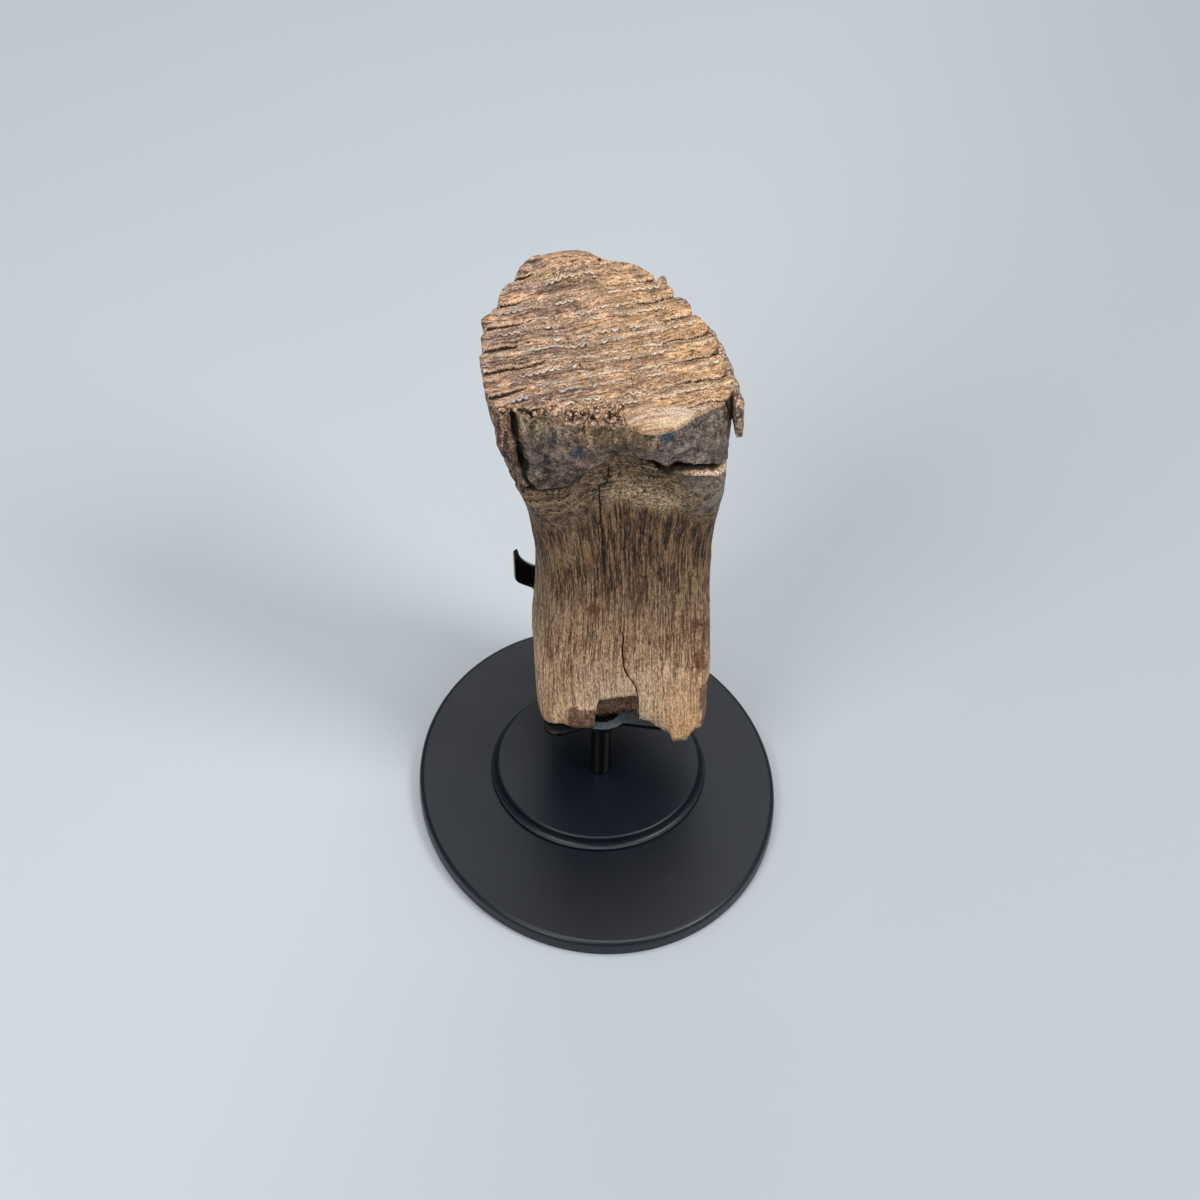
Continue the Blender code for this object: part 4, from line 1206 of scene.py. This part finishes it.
def shellColour(place, x, z, noises):
    # dark shell of the crown's front
    blotch, cloud = noises["blotch"], noises["cloud"]
    scuff = speckle(stretched(place, (1.3, 1.0, 0.45)), 0.75, 6.0, 0.75)
    mottle = speckle(place, 0.34, 5.0, 0.7, 0.25)
    upright = speckle(stretched(place, (1.0, 1.0, 0.16)), 0.85, 4.0, 0.7)
    shell = twoTone(mottle, 0.41, 0.57, (0.034, 0.025, 0.021), (0.240, 0.172, 0.136))
    grey = twoTone(mottle, 0.41, 0.57, (0.070, 0.056, 0.049), (0.430, 0.345, 0.295))
    shell = blend(remap(x, 10.0, 26.0, 0.0, 0.7), shell, grey)
    olive = times(remap(x, -9.0, -17.0), remap(linear(z, 0.03, cloud), 5.62, 5.82))
    shell = blend(olive, shell, twoTone(upright, 0.38, 0.60, (0.050, 0.039, 0.027), (0.310, 0.242, 0.162)))
    stripes = twoTone(upright, 0.40, 0.58, (0.045, 0.032, 0.026), (0.260, 0.195, 0.150))
    shell = blend(times(remap(x, 28.0, 34.0), 0.75), shell, stripes)
    amber = times(fade(apart(x, 1.0), 9.0, 15.0),
                  remap(linear(blotch, 8.0, z), 179.5, 183.0))
    golden = twoTone(upright, 0.38, 0.60, (0.045, 0.029, 0.016), (0.225, 0.150, 0.080))
    shell = blend(times(amber, 0.85), shell, golden)
    shell = blend(remap(cloud, 0.50, 0.60, 0.0, 0.45), shell, (0.052, 0.035, 0.029))
    shell = blend(times(remap(blotch, 0.56, 0.66), remap(z, 172.0, 182.0, 0.25, 0.7)), shell, (0.42, 0.30, 0.21))
    bare = remap(cloud, 0.42, 0.58, 0.1, 0.9)
    shell = blend(times(remap(scuff, 0.55, 0.70), bare, 0.6), shell, (0.40, 0.305, 0.235))
    shell = blend(times(remap(scuff, 0.46, 0.36), bare, 0.7), shell, (0.024, 0.016, 0.012))
    shell = blend(times(veins(place, 0.13, 0.008, 3.0, 0.3), 0.18), shell, (0.50, 0.40, 0.31))
    shell = blend(times(veins(stretched(place, (1.0, 1.0, 0.6)), 0.21, 0.010, 3.0), 0.85), shell, finish["crackDark"])
    upperLeft = times(remap(x, 10.0, 2.0), remap(linear(blotch, 12.0, z), 177.0, 182.0))
    crackle = veins(stretched(place, (1.0, 1.0, 0.8)), 0.060, 0.010, 6.0, 0.2)
    shell = blend(times(crackle, upperLeft, 0.7), shell, (0.54, 0.385, 0.225))
    broad = speckle(place, 0.24, 3.0, 0.6)
    strength = remap(broad, 0.32, 0.68, 0.46, 1.54)
    shell = scaled(shell, strength)
    flat = stretched(place, (1.0, 0.0, 1.0))
    ragged = linear(mottle, 5.0, -2.5)
    for spotX, spotZ, size, strength in finish["blueSpots"]:
        near = spot(flat, spotX, spotZ, size, ragged)
        teal = twoTone(noises["pepper"], 0.38, 0.60, (0.010, 0.032, 0.052), (0.065, 0.105, 0.130))
        shell = blend(times(near, strength), shell, teal)
    return shell


def collarColour(place, x, below, noises):
    # layers of growth under the crack
    marble = speckle(place, 0.5, 5.0, 0.75, 0.4)
    layer = plus(attribute("layer"), linear(marble, 0.9, -0.45))
    layer = calc("FRACT", layer)
    broken = remap(speckle(place, 0.14, 3.0), 0.42, 0.54)
    collar = twoTone(marble, 0.42, 0.57, (0.034, 0.021, 0.012), (0.282, 0.177, 0.100))
    dark = twoTone(marble, 0.36, 0.62, (0.036, 0.023, 0.015), (0.160, 0.104, 0.064))
    collar = blend(remap(noises["cloud"], 0.44, 0.56, 0.0, 0.8), collar, dark)
    collar = blend(times(fade(layer, 0.0, 0.28), broken, 0.6), collar, (0.42, 0.325, 0.205))
    collar = blend(times(remap(layer, 0.80, 0.93), broken, 0.92), collar, finish["crackDark"])
    smoothFace = times(remap(x, 22.0, 29.0), remap(below, 15.0, 9.0))
    grey = twoTone(marble, 0.36, 0.62, (0.112, 0.090, 0.072), (0.325, 0.260, 0.206))
    collar = blend(times(smoothFace, 0.85), collar, grey)
    # painted highlight: a pale grey diagonal sheen band on the smooth face at the right
    sheen = apart(linear(x, 0.9, below), 44.5)
    sheen = times(fade(sheen, 0.5, 3.0), remap(x, 26.0, 32.0), remap(below, 4.0, 7.0))
    collar = blend(times(sheen, 0.5), collar, (0.27, 0.265, 0.262))
    centre = fade(apart(x, 12.0), 6.0, 17.0)
    straw = times(centre, fade(apart(below, 16.0), 2.0, 9.0))
    wool = speckle(place, 0.95, 5.0, 0.8, 0.6)
    collar = blend(times(straw, remap(wool, 0.45, 0.56), 0.9), collar, (0.72, 0.535, 0.33))
    collar = blend(times(remap(x, -6.0, -16.0), remap(marble, 0.42, 0.6), 0.65), collar, (0.262, 0.158, 0.103))
    lines = times(veins(stretched(place, (0.6, 1.0, 1.0)), 0.24, 0.009, 3.0), remap(noises["blotch"], 0.46, 0.56))
    collar = blend(times(lines, 0.9), collar, finish["crackDark"])
    collar = blend(remap(noises["pepper"], 0.59, 0.69, 0.0, 0.7), collar, (0.030, 0.022, 0.015))
    return collar, marble


def rootColour(place, x, z, grain, marble, noises):
    # root: pale fibres over brown, golden towards the foot; darker towards the top, partly the root's own colour
    # and partly painted shade under the crown's overhang
    fibres = speckle(stretched(grain, (1.0, 1.0, 0.045)), 1.25, 3.0, 0.65)
    threads = speckle(stretched(grain, (1.0, 1.0, 0.12)), 3.0, 2.0, 0.6)
    knots = speckle(stretched(grain, (1.0, 1.0, 0.45)), 1.7, 3.0, 0.7)
    wander = linear(noises["blotch"], 34.0, -17.0)
    low = fade(plus(z, wander), 56.0, 126.0)
    ground = blend(low, (0.036, 0.019, 0.010), (0.46, 0.240, 0.130))
    thread = blend(low, (0.335, 0.190, 0.101), (1.0, 0.655, 0.400))
    lightness = plus(times(fibres, 0.66), times(threads, 0.34))
    patchy = linear(noises["cloud"], 0.20, -0.09)
    raised = remap(plus(lightness, patchy), 0.445, 0.555)
    root = blend(raised, ground, thread)
    green = times(remap(noises["cloud"], 0.46, 0.58), remap(z, 84.0, 104.0), 0.4)
    root = blend(green, root, blend(raised, (0.045, 0.031, 0.017), (0.330, 0.232, 0.126)))
    foot = linear(noises["blotch"], 20.0, minus(z, 10.0))
    bright = times(remap(foot, 82.0, 58.0), remap(lightness, 0.345, 0.445))
    bright = times(bright, remap(apart(linear(noises["blotch"], 8.0, x), 12.0), 8.0, 20.0, 0.95, 0.0))
    root = blend(bright, root, (1.0, 0.705, 0.475))
    ochre = times(remap(plus(z, wander), 70.0, 48.0), remap(x, 12.0, 24.0), remap(lightness, 0.34, 0.44), 0.9)
    root = blend(ochre, root, (1.0, 0.585, 0.305))
    # painted shade in the narrow gaps between the fibres, matching their relief
    gaps = veins(stretched(grain, (1.0, 1.0, 0.045)), 0.8, 0.020, 2.0)
    root = blend(times(gaps, remap(z, 50.0, 90.0, 0.18, 0.85)), root, (0.026, 0.016, 0.010))
    root = blend(times(remap(knots, 0.58, 0.68), remap(z, 48.0, 85.0, 0.35, 0.75)), root, (0.042, 0.026, 0.016))
    root = blend(remap(noises["fine"], 0.60, 0.72, 0.0, 0.5), root, thread)
    flat = stretched(place, (1.0, 0.0, 0.75))
    ragged = linear(marble, 9.0, -4.5)
    for spotX, spotZ, size in finish["rustSpots"]:
        red = twoTone(noises["pepper"], 0.4, 0.6, (0.11, 0.036, 0.019), (0.34, 0.120, 0.064))
        root = blend(times(spot(flat, spotX, 0.75 * spotZ, size, ragged), 0.75), root, red)
    return root, plus(lightness, times(gaps, -0.35))


def fossilMaterial():
    material, shader = newMaterial("brownFossil")
    place = objectPlace()
    x, y, z = axes(place)
    chew, below, crumb, hollow, fissure, flake, long, openness = (
        attribute(name) for name in ("chew", "below", "crumb", "hollow", "fissure", "flake", "long", "openness"))
    grain = attribute("grain", vector=True)
    noises = {"cloud": speckle(place, 0.06, 3.0), "blotch": speckle(place, 0.16, 4.0, 0.6),
              "pepper": speckle(place, 1.35, 2.0, 0.55), "fine": speckle(place, 2.1, 1.5, 0.5)}
    blotch, pepper = noises["blotch"], noises["pepper"]

    top, topRelief = wornColour(place, x, y, noises)
    shell = shellColour(place, x, z, noises)
    collar, marble = collarColour(place, x, below, noises)
    root, rootRelief = rootColour(place, x, z, grain, marble, noises)
    flankNoise = speckle(stretched(place, (0.5, 1.0, 0.3)), 0.9, 6.0, 0.7)
    flank = twoTone(flankNoise, 0.38, 0.62, (0.075, 0.046, 0.030), (0.46, 0.300, 0.205))
    breakTone = twoTone(marble, 0.38, 0.62, (0.17, 0.083, 0.055), (0.54, 0.305, 0.205))
    breakTone = blend(remap(pepper, 0.57, 0.68, 0.0, 0.8), breakTone, (0.045, 0.026, 0.018))

    toCollar = remap(plus(below, linear(blotch, 3.0, -1.5)), -0.4, 0.6)
    rootEdge = linear(x, 0.12, linear(blotch, 12.0, 8.0))
    toRoot = remap(minus(below, rootEdge), 0.0, 9.0, smooth=True)
    onFront = fade(plus(y, linear(blotch, 16.0, -8.0)), 1.0, 11.0, smooth=True)
    side = blend(onFront, flank, blend(toCollar, shell, collar))
    side = blend(toRoot, side, root)
    side = blend(remap(linear(pepper, 0.5, flake), 0.60, 0.80), side, breakTone)
    layers = speckle(stretched(place, (1.0, 1.0, 0.12)), 0.7, 4.0, 0.7)
    crumbTone = twoTone(pepper, 0.40, 0.60, (0.055, 0.032, 0.020), (0.58, 0.370, 0.235))
    stripTone = twoTone(layers, 0.42, 0.56, (0.026, 0.021, 0.020), (0.375, 0.215, 0.135))
    blueLayer = times(remap(linear(layers, 5.0, x), -27.5, -26.0), remap(z, 166.0, 171.0), 0.85)
    stripTone = blend(blueLayer, stripTone, twoTone(pepper, 0.42, 0.60, (0.022, 0.026, 0.032),
                                                    (0.135, 0.150, 0.165)))
    stripTone = blend(remap(pepper, 0.58, 0.64, 0.0, 0.85), stripTone, (0.72, 0.42, 0.25))
    lengthwise = veins(stretched(place, (1.0, 1.0, 0.22)), 0.30, 0.030, 3.0)
    stripTone = blend(times(lengthwise, 0.9), stripTone, finish["crackDark"])
    crumbTone = blend(times(remap(x, -21.0, -25.0), remap(chew, 0.3, 0.05)), crumbTone, stripTone)
    side = blend(remap(plus(crumb, linear(blotch, 0.8, -0.4)), 0.2, 0.6), side, crumbTone)
    # pale ledge under the crack: partly its paler broken edge, partly painted highlight where the ledge's top
    # catches the light
    ledge = times(fade(apart(below, 1.9), 0.8, 1.5), remap(x, 21.0, 29.0), onFront)
    side = blend(times(ledge, remap(pepper, 0.38, 0.48), 0.95), side, (0.95, 0.66, 0.47))
    # pale band along the rim of the worn surface: partly the paler broken rim, partly painted highlight where the
    # edge catches the light
    lip = times(remap(chew, 0.02, 0.25), remap(blotch, 0.38, 0.52), 0.8)
    side = blend(lip, side, (0.66, 0.46, 0.30))
    onTop = remap(plus(chew, linear(pepper, 0.8, -0.4)), 0.3, 0.7)
    colour = blend(onTop, side, top)
    # painted shade in the hollows: the cracks, the gap behind the front shell and the grooves on the sides
    sunk = times(hollow, remap(plus(onTop, times(crumb, -1.5)), 0.5, 0.0))
    colour = blend(remap(sunk, 0.2, 0.6, 0.0, 0.95), colour, finish["crackDark"])
    # painted shade inside the cracks down the front and along the long split
    split = remap(plus(fissure, linear(pepper, 0.5, -0.25)), 0.12, 0.28, 0.95, 0.0)
    toLong = plus(calc("ABSOLUTE", long), linear(pepper, 0.5, -0.25))
    toLong = minus(toLong, times(openness, 0.10))
    longDark = times(remap(toLong, 0.24, 0.10), remap(openness, 0.0, 0.25), 0.97)
    split = calc("MAXIMUM", split, longDark)
    colour = blend(split, colour, (0.012, 0.008, 0.005))
    # fine grit over everything: its own speckled colour, with painted shade in its low spots and painted highlight
    # where it stands up, following the bump
    grit = speckle(place, 1.6, 2.0, 0.6)
    drawn = speckle(stretched(grain, (1.0, 1.0, 0.28)), 2.1, 2.0, 0.6)
    grit = plus(grit, times(minus(drawn, grit), toRoot, 0.7))
    tone = linear(minus(grit, 0.5), remap(onTop, 0.0, 1.0, 3.3, 2.3), 1.02)
    tone = calc("MAXIMUM", tone, 0.35)
    colour = scaled(colour, tone)

    rough = plus(remap(pepper, 0.3, 0.7, 0.56, 0.80), times(hollow, 0.15))
    glossy = times(onFront, minus(1.0, toRoot), minus(1.0, chew))
    normal = None
    for height, strength, distance in ((times(rootRelief, toRoot), 0.9, 0.0016),
                                       (times(topRelief, onTop), 0.9, 0.0014),
                                       (plus(pepper, times(grit, 0.6)), 0.55, 0.0009),
                                       (marble, 0.5, 0.0012), (times(split, -1.0), 0.6, 0.0008)):
        normal = relief(height, strength, distance, normal)
    fill(shader, {"Base Color": colour, "Roughness": minus(rough, times(glossy, 0.16)), "Specular IOR Level": 0.24,
                  "Normal": normal})
    return material


def enamelMaterial():
    material, shader = newMaterial("enamel")
    place = objectPlace()
    x = axes(place)[0]
    blotch = speckle(place, 0.22, 4.0, 0.6)
    pepper = speckle(place, 1.7, 2.0, 0.6)
    pale = remap(linear(x, 0.005, blotch), 0.36, 0.54)
    colour = blend(pale, finish["blueGrey"], finish["enamel"])
    stain = remap(speckle(place, 0.7, 3.0, 0.6), 0.46, 0.60)
    colour = blend(times(stain, 0.85), colour, (0.62, 0.40, 0.26))
    colour = blend(remap(pepper, 0.56, 0.66, 0.0, 0.7), colour, (0.16, 0.125, 0.10))
    fill(shader, {"Base Color": colour, "Roughness": remap(pepper, 0.3, 0.7, 0.34, 0.55),
                  "Normal": relief(pepper, 0.3, 0.0002)})
    return material


def crumbMaterial(name, grey=0.0):
    material, shader = newMaterial(name)
    place = objectPlace()
    pepper = speckle(place, 1.0, 3.0, 0.6)
    blotch = speckle(place, 0.42, 3.0, 0.6)
    colour = twoTone(pepper, 0.42, 0.57, (0.030, 0.018, 0.013), (0.78, 0.500, 0.325))
    colour = blend(remap(blotch, 0.52, 0.60, 0.0, 0.7), colour, (0.30, 0.160, 0.095))
    colour = blend(remap(blotch, 0.46, 0.41, 0.0, 0.9), colour, (0.040, 0.024, 0.018))
    colour = blend(times(blotch, grey), colour, (0.20, 0.175, 0.155))
    fill(shader, {"Base Color": colour, "Roughness": remap(pepper, 0.3, 0.7, 0.62, 0.82),
                  "Normal": relief(pepper, 0.5, 0.0006)})
    return material


placeCamera()
setStudio()
satin, gloss = satinBlack(), glossBlack()
makeBasePlate(satin)
makePlinth(satin)
makePost(gloss)
makeHolder(gloss)
makeScrew(gloss)
print("stand built")
wornGrid, toothPoints, crumblyFaces = makeTooth(fossilMaterial())
makeEnamel(wornGrid, enamelMaterial())
makeCrumbs(toothPoints, crumblyFaces, crumbMaterial("crumbStone"))
makeSlab(crumbMaterial("slabCrust", 0.45))

bpy.context.view_layer.update()
